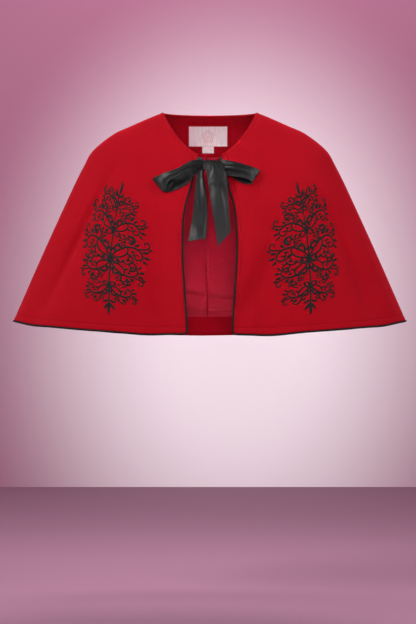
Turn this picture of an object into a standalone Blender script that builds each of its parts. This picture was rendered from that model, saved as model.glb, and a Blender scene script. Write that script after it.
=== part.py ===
"""A short flared cape: wool panels with a corded edge, a faced and lined back, and a ribbon tie at the neck.

Metres, +Z up, and the wearer faces -Y. The origin is where the neck and shoulders hold the cape: on the middle
plane, level with the two neck points and in line with the shoulder seams. Left and right are as seen from the front.
"""

import math

import bmesh
import bpy
import numpy as np

# Cloth thicknesses and the gaps that seams keep
SHELL = 0.0022
FACING = 0.0015
LINING = 0.0010
LABEL = 0.0008
RIBBON = 0.0010
SEAM_GAP = 0.0004
LAYER_GAP = 0.0003
LABEL_GAP = 0.0005

# Cord piping
PIPING_RADIUS = 0.0017
PIPING_INSET = 0.0003
CORNER_RADIUS = 0.006

# Outlines of the cape, neck to hem
SIDE_PROFILE = (
    # half width, height
    (0.098, 0.000),
    (0.132, -0.014),
    (0.1655, -0.029),
    (0.202, -0.046),
    (0.2445, -0.080),
    (0.2645, -0.114),
    (0.2892, -0.164),
    (0.3505, -0.299),
    (0.410, -0.4353),
)
FRONT_PROFILE = (
    # depth towards the front, height
    (0.080, -0.099),
    (0.097, -0.130),
    (0.117, -0.175),
    (0.136, -0.225),
    (0.154, -0.290),
    (0.171, -0.355),
    (0.185, -0.415),
    (0.196, -0.461),
)
BACK_PROFILE = (
    # depth towards the back, height
    (0.060, 0.000),
    (0.079, -0.022),
    (0.099, -0.060),
    (0.117, -0.110),
    (0.133, -0.170),
    (0.151, -0.240),
    (0.169, -0.315),
    (0.186, -0.390),
    (0.201, -0.466),
)
# Half of the open front between the centres of its two piped edges
FRONT_EDGE = (
    # height, half gap
    (-0.095, 0.0222),
    (-0.110, 0.0262),
    (-0.139, 0.0329),
    (-0.174, 0.0416),
    (-0.205, 0.0499),
    (-0.237, 0.0538),
    (-0.280, 0.0552),
    (-0.312, 0.0547),
    (-0.368, 0.0511),
    (-0.422, 0.0475),
    (-0.468, 0.0448),
)
# How much squarer than an ellipse the hem is, and how fast a ring falls from the side to the middle
HEM_SQUARENESS = 0.25
RING_FALL = 1.88

# Soft folds that hang from the shoulders, as angles round the body from the middle of the front
FOLDS = (
    # angle at neck, angle at hem, spread, depth at hem
    (27, 14, 8, 0.0060),
    (48, 59, 9, 0.0080),
    (-23, -18, 7, 0.0045),
    (-50, -62, 9, 0.0080),
    (104, 108, 9, 0.0075),
    (128, 133, 10, 0.0085),
    (154, 158, 9, 0.0070),
    (-177, -177, 8, 0.0050),
    (-151, -154, 9, 0.0080),
    (-126, -129, 10, 0.0070),
    (-103, -106, 8, 0.0080),
)
FOLD_GROWTH = 1.6

# The back's inner layers, as shares of the way from neck to hem
NECK_FACING_END = 0.198
HEM_FACING_START = 0.922
HEM_FACING_DROP = 0.0036
LINING_SEAM_X = -0.006
# Part of a grid row that half a seam's gap takes up
SEAM_ROW = 0.012
# Creases across the lining's lower end
LINING_CREASES = (
    # share of the way down, slope per metre of width, spread, depth
    (0.840, 0.15, 0.018, 0.0022),
    (0.890, -0.10, 0.014, 0.0020),
)
LABEL_WIDTH = 0.083
LABEL_TOP = -0.020
LABEL_HEIGHT = 0.041
TAG_WIDTH = 0.025
TAG_HEIGHT = 0.0145
LABEL_X = -0.0035

# Mesh divisions
FRONT_ROWS = 20
FRONT_COLUMNS = 17
BACK_COLUMNS = 36
NECK_FACING_ROWS = 5
LINED_ROWS = 13
HEM_FACING_ROWS = 2
CORNER_STEPS = 4
RIBBON_COLUMNS = 3
LABEL_COLUMNS = 8
TAG_COLUMNS = 2
LABEL_ROWS = 3
KNOT_SEGMENTS = 14
KNOT_RINGS = 10
CURVE_STEPS = 12
# Passes in which a sought place settles
EDGE_PASSES = 6
DEPTH_PASSES = 30
SHARP_ANGLE = 40

# Ribbon tie. Each strip runs through rows that give its two edges, and how far each edge stands off the front.
LEFT_TIE = (
    # upper x, upper z, upper lift, lower x, lower z, lower lift
    (-0.0247, -0.0985, -0.0011, -0.0268, -0.1060, -0.0011),
    (-0.0150, -0.1040, 0.0012, -0.0190, -0.1108, 0.0010),
    (-0.0064, -0.1098, 0.0040, -0.0120, -0.1150, 0.0037),
)
RIGHT_TIE = (
    (0.0247, -0.0985, -0.0011, 0.0268, -0.1060, -0.0011),
    (0.0195, -0.1040, 0.0012, 0.0230, -0.1108, 0.0010),
    (0.0138, -0.1098, 0.0040, 0.0194, -0.1150, 0.0037),
)
LEFT_LOOP = (
    (-0.0143, -0.1120, 0.0062, -0.0150, -0.1260, 0.0062),
    (-0.0360, -0.1190, 0.0022, -0.0400, -0.1475, 0.0022),
    (-0.0660, -0.1310, 0.0016, -0.0700, -0.1655, 0.0016),
    (-0.0960, -0.1400, 0.0020, -0.0840, -0.1725, 0.0018),
    (-0.1165, -0.1450, 0.0065, -0.0950, -0.1740, 0.0052),
    (-0.0980, -0.1385, 0.0150, -0.0850, -0.1715, 0.0105),
    (-0.0680, -0.1260, 0.0190, -0.0690, -0.1640, 0.0140),
    (-0.0380, -0.1105, 0.0175, -0.0430, -0.1420, 0.0150),
    (-0.0143, -0.1090, 0.0125, -0.0150, -0.1230, 0.0120),
)
RIGHT_LOOP = (
    (0.0218, -0.1120, 0.0062, 0.0224, -0.1260, 0.0062),
    (0.0450, -0.1180, 0.0022, 0.0480, -0.1480, 0.0022),
    (0.0730, -0.1240, 0.0016, 0.0700, -0.1575, 0.0016),
    (0.0880, -0.1265, 0.0020, 0.0790, -0.1580, 0.0018),
    (0.1005, -0.1290, 0.0085, 0.0860, -0.1545, 0.0052),
    (0.0850, -0.1230, 0.0165, 0.0790, -0.1520, 0.0110),
    (0.0630, -0.1165, 0.0185, 0.0620, -0.1500, 0.0145),
    (0.0430, -0.1110, 0.0170, 0.0430, -0.1410, 0.0145),
    (0.0218, -0.1085, 0.0125, 0.0224, -0.1240, 0.0120),
)
LEFT_TAIL = (
    (-0.0105, -0.1277, 0.0085, 0.0005, -0.1296, 0.0090),
    (-0.0215, -0.1400, 0.0060, -0.0060, -0.1420, 0.0080),
    (-0.0300, -0.1660, 0.0030, -0.0085, -0.1680, 0.0060),
    (-0.0360, -0.2200, 0.0030, -0.0062, -0.2200, 0.0050),
    (-0.0443, -0.2761, 0.0040, -0.0078, -0.2700, 0.0060),
)
RIGHT_TAIL = (
    (-0.0100, -0.1058, 0.0090, 0.0180, -0.1054, 0.0090),
    (-0.0110, -0.1058, 0.0160, 0.0200, -0.1054, 0.0158),
    (-0.0105, -0.1120, 0.0182, 0.0235, -0.1110, 0.0180),
    (-0.0085, -0.1230, 0.0180, 0.0285, -0.1230, 0.0176),
    (-0.0062, -0.1394, 0.0135, 0.0325, -0.1394, 0.0125),
    (-0.0032, -0.1663, 0.0085, 0.0352, -0.1663, 0.0060),
    (0.0045, -0.2137, 0.0075, 0.0381, -0.2137, 0.0045),
    (0.0170, -0.2856, 0.0070, 0.0418, -0.2549, 0.0040),
)
TIE_STATIONS = 4
LOOP_STATIONS = 30
TAIL_STATIONS = 14
# The knot fills the middle of the bow
KNOT_X = 0.0037
KNOT_Z = -0.1185
KNOT_LIFT = 0.0085
KNOT_HALF = (0.0178, 0.0072, 0.0105)
KNOT_SQUARENESS = 3.0

WOOL_RED = (0.42, 0.008, 0.018)
LINING_RED = (0.36, 0.012, 0.032)
CORD_BLACK = (0.012, 0.012, 0.013)
SATIN_BLACK = (0.02, 0.02, 0.022)
LABEL_PINK = (0.78, 0.62, 0.64)


def smooth_line(rows, steps=CURVE_STEPS):
    """Points along a Catmull-Rom curve through the rows."""
    points = np.array(rows, float)
    padded = np.vstack([2 * points[0] - points[1], points, 2 * points[-1] - points[-2]])
    u = np.linspace(0, 1, steps, endpoint=False)[:, None]
    runs = []
    for before, start, end, after in zip(padded, padded[1:], padded[2:], padded[3:]):
        slope = end - before
        bend = 2 * before - 5 * start + 4 * end - after
        twist = 3 * start - before - 3 * end + after
        runs.append(0.5 * (2 * start + slope * u + bend * u**2 + twist * u**3))
    return np.vstack([*runs, points[-1:]])


def travel(line):
    """Distance along a line up to each of its points."""
    steps = np.linalg.norm(np.diff(line, axis=0), axis=1)
    return np.concatenate([[0.0], np.cumsum(steps)])


def along(line, share):
    """Points at shares of a line's length, carried straight on past its two ends."""
    length = travel(line)
    at = np.asarray(share, float) * length[-1]
    inside = np.stack([np.interp(at, length, column) for column in line.T], axis=-1)
    start = (line[1] - line[0]) / length[1]
    end = (line[-1] - line[-2]) / (length[-1] - length[-2])
    short = np.minimum(at, 0)[..., None]
    over = np.maximum(at - length[-1], 0)[..., None]
    return inside + short * start + over * end


SIDE = smooth_line(SIDE_PROFILE)
FRONT = smooth_line(FRONT_PROFILE)
BACK = smooth_line(BACK_PROFILE)
EDGE = smooth_line(FRONT_EDGE)


def squareness(share):
    """Exponent of the ring: 2 is an ellipse, and more is squarer."""
    return 2 + HEM_SQUARENESS * np.clip(share, 0, 1)


def bare_ring(angle, share):
    """The cape's outer face with no folds in it: a ring between the side, front and back outlines."""
    side, front, back = along(SIDE, share), along(FRONT, share), along(BACK, share)
    sine, cosine = np.sin(angle), np.cos(angle)
    middle = np.where((cosine > 0)[..., None], front, back)
    power = 2 / squareness(share)
    x = side[..., 0] * np.sign(sine) * np.abs(sine) ** power
    y = -middle[..., 0] * np.sign(cosine) * np.abs(cosine) ** power
    z = side[..., 1] + (middle[..., 1] - side[..., 1]) * np.abs(cosine) ** RING_FALL
    return np.stack([x, y, z], axis=-1)


def outward(surface, angle, share, step=1e-3):
    """Unit normals of a surface of angle and share, pointing away from the wearer."""
    around = surface(angle + step, share) - surface(angle - step, share)
    down = surface(angle, share + step) - surface(angle, share - step)
    normal = np.cross(down, around)
    return normal / np.linalg.norm(normal, axis=-1, keepdims=True)


def fold_depth(angle, share):
    """How far the folds push the cloth in: a bell across each fold, growing from the neck to the hem."""
    depth = np.zeros(np.broadcast(angle, share).shape)
    for at_neck, at_hem, spread, most in FOLDS:
        centre = math.radians(at_neck) + math.radians(at_hem - at_neck) * share
        away = (angle - centre + math.pi) % (2 * math.pi) - math.pi
        bell = np.exp(-((away / math.radians(spread)) ** 2))
        depth += most * np.clip(share, 0, 2) ** FOLD_GROWTH * bell
    return depth


def skin(angle, share):
    """The cape's outer face, folds and all."""
    angle, share = np.broadcast_arrays(np.asarray(angle, float), np.asarray(share, float))
    push = fold_depth(angle, share)[..., None]
    return bare_ring(angle, share) - push * outward(bare_ring, angle, share)


def seam_angle(share, depth):
    """Angle at which a ring comes within half a seam's gap of the seam over the shoulder and down the side."""
    return np.arccos((SEAM_GAP / 2 / depth) ** (squareness(share) / 2))


def gap_at(height):
    """Half of the open front at a height."""
    return np.interp(-height, -EDGE[:, 0], EDGE[:, 1])


def front_angle(share, extra):
    """Angle at which a ring meets the front edge, moved sideways by extra. Height and width settle each other."""
    half = along(SIDE, share)[..., 0]
    height = along(FRONT, share)[..., 1]
    for _ in range(EDGE_PASSES):
        wide = gap_at(height) + extra
        angle = np.arcsin(np.clip(wide / half, 0, 1) ** (squareness(share) / 2))
        height = skin(angle, share)[..., 2]
    return angle


def material(name, colour, roughness, metallic=0.0):
    """A plain Principled material."""
    made = bpy.data.materials.new(name)
    made.use_nodes = True
    shader = made.node_tree.nodes["Principled BSDF"]
    shader.inputs["Base Color"].default_value = (*colour, 1)
    shader.inputs["Roughness"].default_value = roughness
    shader.inputs["Metallic"].default_value = metallic
    return made


def add_object(name, mesh, finish):
    """Links a mesh to the cape's collection as a smooth-shaded object."""
    mesh.materials.append(finish)
    mesh.shade_smooth()
    mesh.set_sharp_from_angle(angle=math.radians(SHARP_ANGLE))
    made = bpy.data.objects.new(name, mesh)
    CAPE.objects.link(made)
    return made


def wall(name, outer, inner, finish):
    """A closed wall between two grids of points that match row for row and column for column."""
    rows, columns = outer.shape[:2]
    number = np.arange(rows * columns).reshape(rows, columns)
    back = number + rows * columns
    faces = []
    for i in range(rows - 1):
        for j in range(columns - 1):
            faces.append((number[i, j], number[i + 1, j], number[i + 1, j + 1], number[i, j + 1]))
            faces.append((back[i, j], back[i, j + 1], back[i + 1, j + 1], back[i + 1, j]))
    rim = [*number[0, :-1], *number[:-1, -1], *number[-1, :0:-1], *number[:0:-1, 0]]
    for here, there in zip(rim, [*rim[1:], rim[0]]):
        faces.append((here, there, there + rows * columns, here + rows * columns))
    mesh = bpy.data.meshes.new(name)
    points = np.concatenate([outer.reshape(-1, 3), inner.reshape(-1, 3)])
    mesh.from_pydata(points.tolist(), [], [tuple(int(v) for v in face) for face in faces])
    edit = bmesh.new()
    edit.from_mesh(mesh)
    bmesh.ops.recalc_face_normals(edit, faces=edit.faces)
    edit.to_mesh(mesh)
    edit.free()
    return add_object(name, mesh, finish)


def panel(name, angle, share, finish):
    """A shell panel over grids of angle and share. Returns the points and normals of its outer face."""
    points = skin(angle, share)
    normals = outward(skin, angle, share)
    wall(name, points, points - SHELL * normals, finish)
    return points, normals


def between(grid, row, column):
    """Points part of the way between a grid's own, so that a layer follows the facets of its panel."""
    i = np.clip(np.floor(row).astype(int), 0, grid.shape[0] - 2)
    j = np.clip(np.floor(column).astype(int), 0, grid.shape[1] - 2)
    down = (row - i)[..., None]
    across = (column - j)[..., None]
    upper = grid[i, j] * (1 - across) + grid[i, j + 1] * across
    lower = grid[i + 1, j] * (1 - across) + grid[i + 1, j + 1] * across
    return upper * (1 - down) + lower * down


def corner_offsets():
    """Angle and share that the corner radius spans at the front corner of the hem."""
    return CORNER_RADIUS / SIDE_PROFILE[-1][0], CORNER_RADIUS / travel(FRONT)[-1]


def front_grid():
    """Angles and shares of the right front, from the piped edge to the seam with the back."""
    turn, rise = corner_offsets()
    share = np.append(np.linspace(0, 1 - rise, FRONT_ROWS), 1.0)[:, None]
    inner = front_angle(share, PIPING_RADIUS + SEAM_GAP)
    outer = seam_angle(share, along(FRONT, share)[..., 0])
    place = np.append(0.0, np.linspace(turn / (outer - inner)[-1, 0], 1, FRONT_COLUMNS))
    angle, share = np.broadcast_arrays(inner + (outer - inner) * place, share)
    angle, share = angle.copy(), share.copy()
    # The lowest inner point is drawn in, which rounds the corner of the hem.
    cut = 1 - math.sqrt(0.5)
    angle[-1, 0] += cut * turn
    share[-1, 0] -= cut * rise
    return angle, share


def front_panels():
    """Left and right fronts. Returns the angles along the right front's hem."""
    angle, share = front_grid()
    panel("front_right", angle, share, WOOL)
    panel("front_left", -angle[:, ::-1], share[:, ::-1], WOOL)
    return angle[-1]


def back_grid():
    """Angles and shares of the back panel, with rows where its inner layers end."""
    facing = np.linspace(0, NECK_FACING_END, NECK_FACING_ROWS + 1)
    lined = np.linspace(NECK_FACING_END, HEM_FACING_START, LINED_ROWS + 1)[1:]
    hem = np.linspace(HEM_FACING_START, 1, HEM_FACING_ROWS + 1)[1:]
    share = np.concatenate([facing, lined, hem])[:, None]
    near = math.pi - seam_angle(share, along(BACK, share)[..., 0])
    angle = near + 2 * (math.pi - near) * np.linspace(0, 1, BACK_COLUMNS + 1)
    return angle, share


def back_layer(name, base, inward, near, thickness, finish):
    """A layer inside the back, starting at a depth below the shell's outer face."""
    outer = base - near * inward
    return wall(name, outer, outer - thickness * inward, finish)


def crease_depth(share, x):
    """How far the lining's creases stand in from the shell."""
    depth = np.zeros(np.broadcast(share, x).shape)
    for centre, slope, spread, most in LINING_CREASES:
        depth += most * np.exp(-(((share - centre - slope * x) / spread) ** 2))
    return depth[..., None]


def back_and_linings():
    """The back panel, its neck and hem facings, both halves of its lining, the label and the size tag."""
    angle, share = back_grid()
    points, normals = panel("back_panel", angle, share, WOOL)
    neck_facing(points, normals)
    hem_facing(points, normals)
    lining_halves(points, normals, share)
    label_and_tag(points, normals)
    return angle[-1]


def neck_facing(points, normals):
    """The wool band inside the back neck."""
    end = NECK_FACING_ROWS - SEAM_ROW
    row = np.append(np.arange(NECK_FACING_ROWS), end)[:, None]
    row, column = np.broadcast_arrays(row, np.arange(BACK_COLUMNS + 1.0))
    base, inward = between(points, row, column), between(normals, row, column)
    back_layer("neck_facing", base, inward, SHELL + LAYER_GAP, FACING, WOOL)


def hem_facing(points, normals):
    """The wool band inside the back hem, which hangs past the shell and hides the piping from inside."""
    start = NECK_FACING_ROWS + LINED_ROWS
    down = points[-1] - points[-2]
    down /= np.linalg.norm(down, axis=-1, keepdims=True)
    base = np.concatenate([points[start:], (points[-1] + HEM_FACING_DROP * down)[None]])
    inward = np.concatenate([normals[start:], normals[-1:]])
    back_layer("hem_facing", base, inward, SHELL + LAYER_GAP, FACING, WOOL)


def lining_halves(points, normals, share):
    """Both halves of the back lining, which meet at a seam just left of the middle."""
    first, last = NECK_FACING_ROWS, NECK_FACING_ROWS + LINED_ROWS
    rows = np.array([first + SEAM_ROW, *range(first + 1, last), last - SEAM_ROW])
    numbers = np.arange(BACK_COLUMNS + 1.0)
    middle = BACK_COLUMNS // 2 + 1
    for name, side in (("lining_right", 1), ("lining_left", -1)):
        seam_x = LINING_SEAM_X + side * SEAM_GAP / 2
        seam = [column_at(points, row, seam_x) for row in rows]
        if side > 0:
            column = np.array([[*numbers[:middle], at] for at in seam])
        else:
            column = np.array([[at, *numbers[middle:]] for at in seam])
        row = np.broadcast_to(rows[:, None], column.shape)
        base, inward = between(points, row, column), between(normals, row, column)
        down = np.interp(row, np.arange(len(share)), share[:, 0])
        near = SHELL + LAYER_GAP + crease_depth(down, base[..., 0])
        back_layer(name, base, inward, near, LINING, SATIN_RED)


def column_at(points, row, x):
    """Column of the back's grid that stands at a sideways place along one of its rows."""
    numbers = np.arange(BACK_COLUMNS + 1.0)
    ring = between(points, np.full(len(numbers), float(row)), numbers)[:, 0]
    return np.interp(-np.asarray(x), -ring, numbers)


def label_and_tag(points, normals):
    """The label on the neck facing and the size tag under it, laid on the facing's own facets."""
    heights = points[:, BACK_COLUMNS // 2, 2]
    label_end = LABEL_TOP - LABEL_HEIGHT
    pieces = (
        # name, width, top, bottom, columns
        ("label", LABEL_WIDTH, LABEL_TOP, label_end, LABEL_COLUMNS),
        ("size_tag", TAG_WIDTH, label_end - SEAM_GAP, label_end - TAG_HEIGHT, TAG_COLUMNS),
    )
    near = SHELL + LAYER_GAP + FACING + LABEL_GAP
    for name, width, top, end, steps in pieces:
        x = LABEL_X + width * np.linspace(0.5, -0.5, steps + 1)
        rows = np.interp(-np.linspace(top, end, LABEL_ROWS + 1), -heights, np.arange(len(heights)))
        column = np.array([column_at(points, row, x) for row in rows])
        row = np.broadcast_to(rows[:, None], column.shape)
        base, inward = between(points, row, column), between(normals, row, column)
        back_layer(name, base, inward, near, LABEL, LABEL_WHITE)


def front_depth(x, z):
    """Depth of the front's outer face behind a point of the front view, found by halving the share."""
    x, z = np.broadcast_arrays(np.asarray(x, float), np.asarray(z, float))
    low, high = np.zeros(x.shape), np.ones(x.shape)
    for _ in range(DEPTH_PASSES):
        share = (low + high) / 2
        power = squareness(share) / 2
        angle = np.sign(x) * np.arcsin(np.clip(np.abs(x) / along(SIDE, share)[..., 0], 0, 1) ** power)
        above = bare_ring(angle, share)[..., 2] > z
        low, high = np.where(above, share, low), np.where(above, high, share)
    return skin(angle, share)[..., 1]


def strip(name, rows, stations):
    """A ribbon through rows of its two edges, each standing off the front by its own lift."""
    line = smooth_line(rows)
    length = travel(line)
    at = np.linspace(0, length[-1], stations)
    line = np.stack([np.interp(at, length, column) for column in line.T], axis=-1)
    across = np.linspace(0, 1, RIBBON_COLUMNS + 1)[None, :, None]
    flat = line[:, None, :3] * (1 - across) + line[:, None, 3:] * across
    x, z, lift = flat[..., 0], flat[..., 1], flat[..., 2]
    points = np.stack([x, front_depth(x, z) - lift, z], axis=-1)
    normal = np.cross(np.gradient(points, axis=0), np.gradient(points, axis=1))
    normal /= np.linalg.norm(normal, axis=-1, keepdims=True)
    return wall(name, points - RIBBON / 2 * normal, points + RIBBON / 2 * normal, SATIN)


def knot():
    """The knot: a ball squared off towards its ends, lying along the slope of the front."""
    mesh = bpy.data.meshes.new("knot")
    edit = bmesh.new()
    bmesh.ops.create_uvsphere(edit, u_segments=KNOT_SEGMENTS, v_segments=KNOT_RINGS, radius=1)
    for vertex in edit.verts:
        # The sphere's poles are turned to point left and right.
        end, deep, tall = vertex.co.z, -vertex.co.y, vertex.co.x
        round_sum = abs(end) ** KNOT_SQUARENESS + math.hypot(deep, tall) ** KNOT_SQUARENESS
        grown = round_sum ** (1 / KNOT_SQUARENESS)
        x = KNOT_X + KNOT_HALF[0] * end / grown
        z = KNOT_Z + KNOT_HALF[2] * tall / grown
        vertex.co = (x, float(front_depth(x, z)) - KNOT_LIFT + KNOT_HALF[1] * deep / grown, z)
    edit.to_mesh(mesh)
    edit.free()
    return add_object("knot", mesh, SATIN)


def cord_side(sign, front_hem):
    """One side's cord: down the front edge from just below the tie, round the corner and along the hem."""
    turn, rise = corner_offsets()
    edge_share = np.linspace(0, 1 - rise, FRONT_ROWS)[1:]
    edge_angle = front_angle(edge_share, 0.0)
    off_angle = front_angle(1 - rise, PIPING_RADIUS + SEAM_GAP) - edge_angle[-1]
    off_share = (PIPING_RADIUS + SEAM_GAP) / travel(FRONT)[-1]
    swing = np.linspace(0, math.pi / 2, CORNER_STEPS + 1)[1:]
    corner_angle = front_hem[1] - (turn + off_angle) * np.cos(swing)
    corner_share = 1 - rise + (rise + off_share) * np.sin(swing)
    angle = np.concatenate([edge_angle, corner_angle, front_hem[2:-1]])
    hem_share = np.full(len(front_hem) - 3, 1 + off_share)
    share = np.concatenate([edge_share, corner_share, hem_share])
    return sign * angle, share


def piping_path(front_hem, back_hem):
    """The cord's route: down the left front edge, round the hem and up the right front edge."""
    left_angle, left_share = cord_side(-1, front_hem)
    right_angle, right_share = cord_side(1, front_hem)
    around = np.concatenate([[-math.pi / 2], back_hem[-2:0:-1] - 2 * math.pi, [-1.5 * math.pi]])
    hem_share = np.full(len(around), left_share[-1])
    angle = np.concatenate([left_angle, around, right_angle[::-1]])
    share = np.concatenate([left_share, hem_share, right_share[::-1]])
    return skin(angle, share) - PIPING_INSET * outward(skin, angle, share)


def piping(path):
    """One round cord along the whole path."""
    curve = bpy.data.curves.new("piping", "CURVE")
    curve.dimensions = "3D"
    curve.bevel_depth = PIPING_RADIUS
    curve.bevel_resolution = 1
    curve.use_fill_caps = True
    spline = curve.splines.new("POLY")
    spline.points.add(len(path) - 1)
    for point, place in zip(spline.points, path):
        point.co = (*place, 1)
    curve.materials.append(CORD)
    made = bpy.data.objects.new("piping", curve)
    CAPE.objects.link(made)
    return made


for old in list(bpy.data.objects):
    bpy.data.objects.remove(old)
CAPE = bpy.data.collections.new("short_cape")
bpy.context.scene.collection.children.link(CAPE)

WOOL = material("red_wool", WOOL_RED, 0.9)
SATIN_RED = material("red_lining", LINING_RED, 0.5)
CORD = material("black_cord", CORD_BLACK, 0.6)
SATIN = material("black_satin", SATIN_BLACK, 0.35)
LABEL_WHITE = material("label_weave", LABEL_PINK, 0.6)

front_hem_angles = front_panels()
back_hem_angles = back_and_linings()
piping(piping_path(front_hem_angles, back_hem_angles))
strip("tie_left", LEFT_TIE, TIE_STATIONS)
strip("tie_right", RIGHT_TIE, TIE_STATIONS)
strip("loop_left", LEFT_LOOP, LOOP_STATIONS)
strip("loop_right", RIGHT_LOOP, LOOP_STATIONS)
strip("tail_left", LEFT_TAIL, TAIL_STATIONS)
strip("tail_right", RIGHT_TAIL, TAIL_STATIONS)
knot()
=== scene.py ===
"""Looks of a short flared red cape with a corded edge and a ribbon tie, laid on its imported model.

Metres, +Z up, and the wearer faces -Y. Left and right are as seen from the front. The cloth pieces are thin
closed sheets on the cape's own form, which is a stack of rings given by an angle round the body and a share of
the way from the neck to the hem.
"""

import logging
import math
from collections.abc import Callable, Sequence
from dataclasses import dataclass
from enum import Enum

import bpy
import numpy as np
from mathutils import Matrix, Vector


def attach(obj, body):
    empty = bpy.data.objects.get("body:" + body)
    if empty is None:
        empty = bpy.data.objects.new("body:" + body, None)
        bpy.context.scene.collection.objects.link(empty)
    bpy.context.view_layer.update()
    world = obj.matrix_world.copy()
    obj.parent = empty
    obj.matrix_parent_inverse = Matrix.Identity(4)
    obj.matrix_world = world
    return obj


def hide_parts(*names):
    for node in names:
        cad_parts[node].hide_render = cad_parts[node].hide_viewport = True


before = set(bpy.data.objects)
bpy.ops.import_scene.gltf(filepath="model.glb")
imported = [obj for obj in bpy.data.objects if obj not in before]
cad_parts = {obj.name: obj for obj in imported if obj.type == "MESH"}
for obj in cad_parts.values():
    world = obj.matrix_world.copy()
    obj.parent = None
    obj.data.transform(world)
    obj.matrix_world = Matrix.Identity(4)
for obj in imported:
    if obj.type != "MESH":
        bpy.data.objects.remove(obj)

logging.basicConfig(level=logging.INFO, format="%(message)s")
LOG = logging.getLogger("cape")

Array = np.ndarray
Rows = Sequence[Sequence[float]]
Surface = Callable[[Array, Array], Array]
Ends = Callable[[Array], tuple[Array, Array]]
Colour = tuple[float, float, float]

BODY = "root"
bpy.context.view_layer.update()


class Slot(Enum):
    """Material slots of the record."""

    WOOL = "wool"
    LINING = "lining"
    PIPING = "piping"
    RIBBON = "ribbon"
    LABEL = "label"


class Side(Enum):
    """The cape's two sides, as seen from the front."""

    LEFT = -1
    RIGHT = 1


def smooth_line(rows: Rows, steps: int = 60) -> Array:
    """Points along a Catmull-Rom curve through the rows.

    Args:
        rows: Points of any number of columns.
        steps: Points for each stretch between two rows.

    Returns:
        The curve's points, one row each.
    """
    points = np.array(rows, float)
    padded = np.vstack([2 * points[0] - points[1], points, 2 * points[-1] - points[-2]])
    u = np.linspace(0, 1, steps, endpoint=False)[:, None]
    runs = []
    for before, start, end, after in zip(padded, padded[1:], padded[2:], padded[3:]):
        slope = end - before
        bend = 2 * before - 5 * start + 4 * end - after
        twist = 3 * start - before - 3 * end + after
        runs.append(0.5 * (2 * start + slope * u + bend * u**2 + twist * u**3))
    return np.vstack([*runs, points[-1:]])


def travel(line: Array) -> Array:
    """Distance along a line up to each of its points."""
    steps = np.linalg.norm(np.diff(line, axis=0), axis=1)
    return np.concatenate([[0.0], np.cumsum(steps)])


def along(line: Array, share: Array) -> Array:
    """Points at shares of a line's length, carried straight on past its two ends.

    Args:
        line: The line's points, one row each.
        share: Shares of its length, in an array of any shape.

    Returns:
        Points in an array of the shape of share, with one axis more.
    """
    length = travel(line)
    at = np.asarray(share, float) * length[-1]
    inside = np.stack([np.interp(at, length, column) for column in line.T], axis=-1)
    start = (line[1] - line[0]) / length[1]
    end = (line[-1] - line[-2]) / (length[-1] - length[-2])
    short = np.minimum(at, 0)[..., None]
    over = np.maximum(at - length[-1], 0)[..., None]
    return inside + short * start + over * end


def unit(vectors: Array) -> Array:
    """Vectors scaled to a length of one."""
    return vectors / np.maximum(np.linalg.norm(vectors, axis=-1, keepdims=True), 1e-12)


def smooth_step(low: float, high: float, value: Array) -> Array:
    """0 below low, 1 above high and 3t^2 - 2t^3 between them."""
    t = np.clip((value - low) / (high - low), 0, 1)
    return t * t * (3 - 2 * t)


def bell(value: Array) -> Array:
    """A bell of height one: exp(-value^2)."""
    return np.exp(-(value**2))


def beside(u: Array, v: Array, across: float, upward: float) -> tuple[Array, Array, Array]:
    """Where points lie against a straight line from the origin.

    Args:
        u: The points' places across.
        v: The points' places upward.
        across: How far across the line's end lies.
        upward: How far up it lies.

    Returns:
        Shares of the way along the line, distances off it and distances past its ends.
    """
    length = math.hypot(across, upward)
    run = (u * across + v * upward) / length**2
    off = (u * upward - v * across) / length
    return run, off, np.maximum(np.abs(run - 0.5) - 0.5, 0) * length


def walk(x: float, y: float, heading: Array, step: float) -> Array:
    """Points of a line from x, y that takes one step of the same length along each heading in turn."""
    moves = step * np.stack([np.cos(heading), np.sin(heading)], axis=-1)
    return np.array([x, y]) + np.concatenate([np.zeros((1, 2)), np.cumsum(moves, axis=0)])


@dataclass(frozen=True)
class Spacing:
    """Where a grid's lines run: close together at set distances from two borders, and even between them."""

    head: tuple[float, ...]
    tail: tuple[float, ...]
    count: int

    def lay(self, low: Array, high: Array, low_rate: Array, high_rate: Array) -> tuple[Array, Array, Array]:
        """Places of the lines between two borders.

        A line of the head lies at low + distance / low_rate, and one of the tail at high - distance / high_rate.

        Args:
            low: Coordinate of the first border.
            high: Coordinate of the last border.
            low_rate: Metres for a step of one at the first border.
            high_rate: Metres for a step of one at the last border.

        Returns:
            The places, the distances from the first border and those from the last, with the lines on axis 0.
        """
        head = low + np.multiply.outer(np.array(self.head), 1 / low_rate)
        tail = high - np.multiply.outer(np.array(self.tail[::-1]), 1 / high_rate)
        even = np.linspace(0, 1, self.count + 2)[1:-1]
        middle = head[-1] + np.multiply.outer(even, tail[0] - head[-1])
        place = np.concatenate([head, middle, tail])
        return place, (place - low) * low_rate, (high - place) * high_rate


def quads_of(number: Array) -> Array:
    """Four-sided faces of a grid of point numbers, wound down and then across."""
    corners = (number[:-1, :-1], number[1:, :-1], number[1:, 1:], number[:-1, 1:])
    return np.stack(corners, axis=-1).reshape(-1, 4)


def face_outwards(points: Array, quads: Array, uv: Array) -> tuple[Array, Array]:
    """Turns every face round if the mesh's signed volume is negative.

    The volume is a sixth of the sum of a . (b x c) over the triangles of the faces.

    Args:
        points: Places of the points.
        quads: Point numbers of the faces.
        uv: Pattern places of the faces' corners.

    Returns:
        The faces and their pattern places, both wound outwards.
    """
    a, b, c, d = (points[quads[:, corner]] for corner in range(4))
    volume = np.einsum("ij,ij->", a, np.cross(b, c)) + np.einsum("ij,ij->", a, np.cross(c, d))
    return (quads, uv) if volume > 0 else (quads[:, ::-1], uv[:, ::-1])


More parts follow.
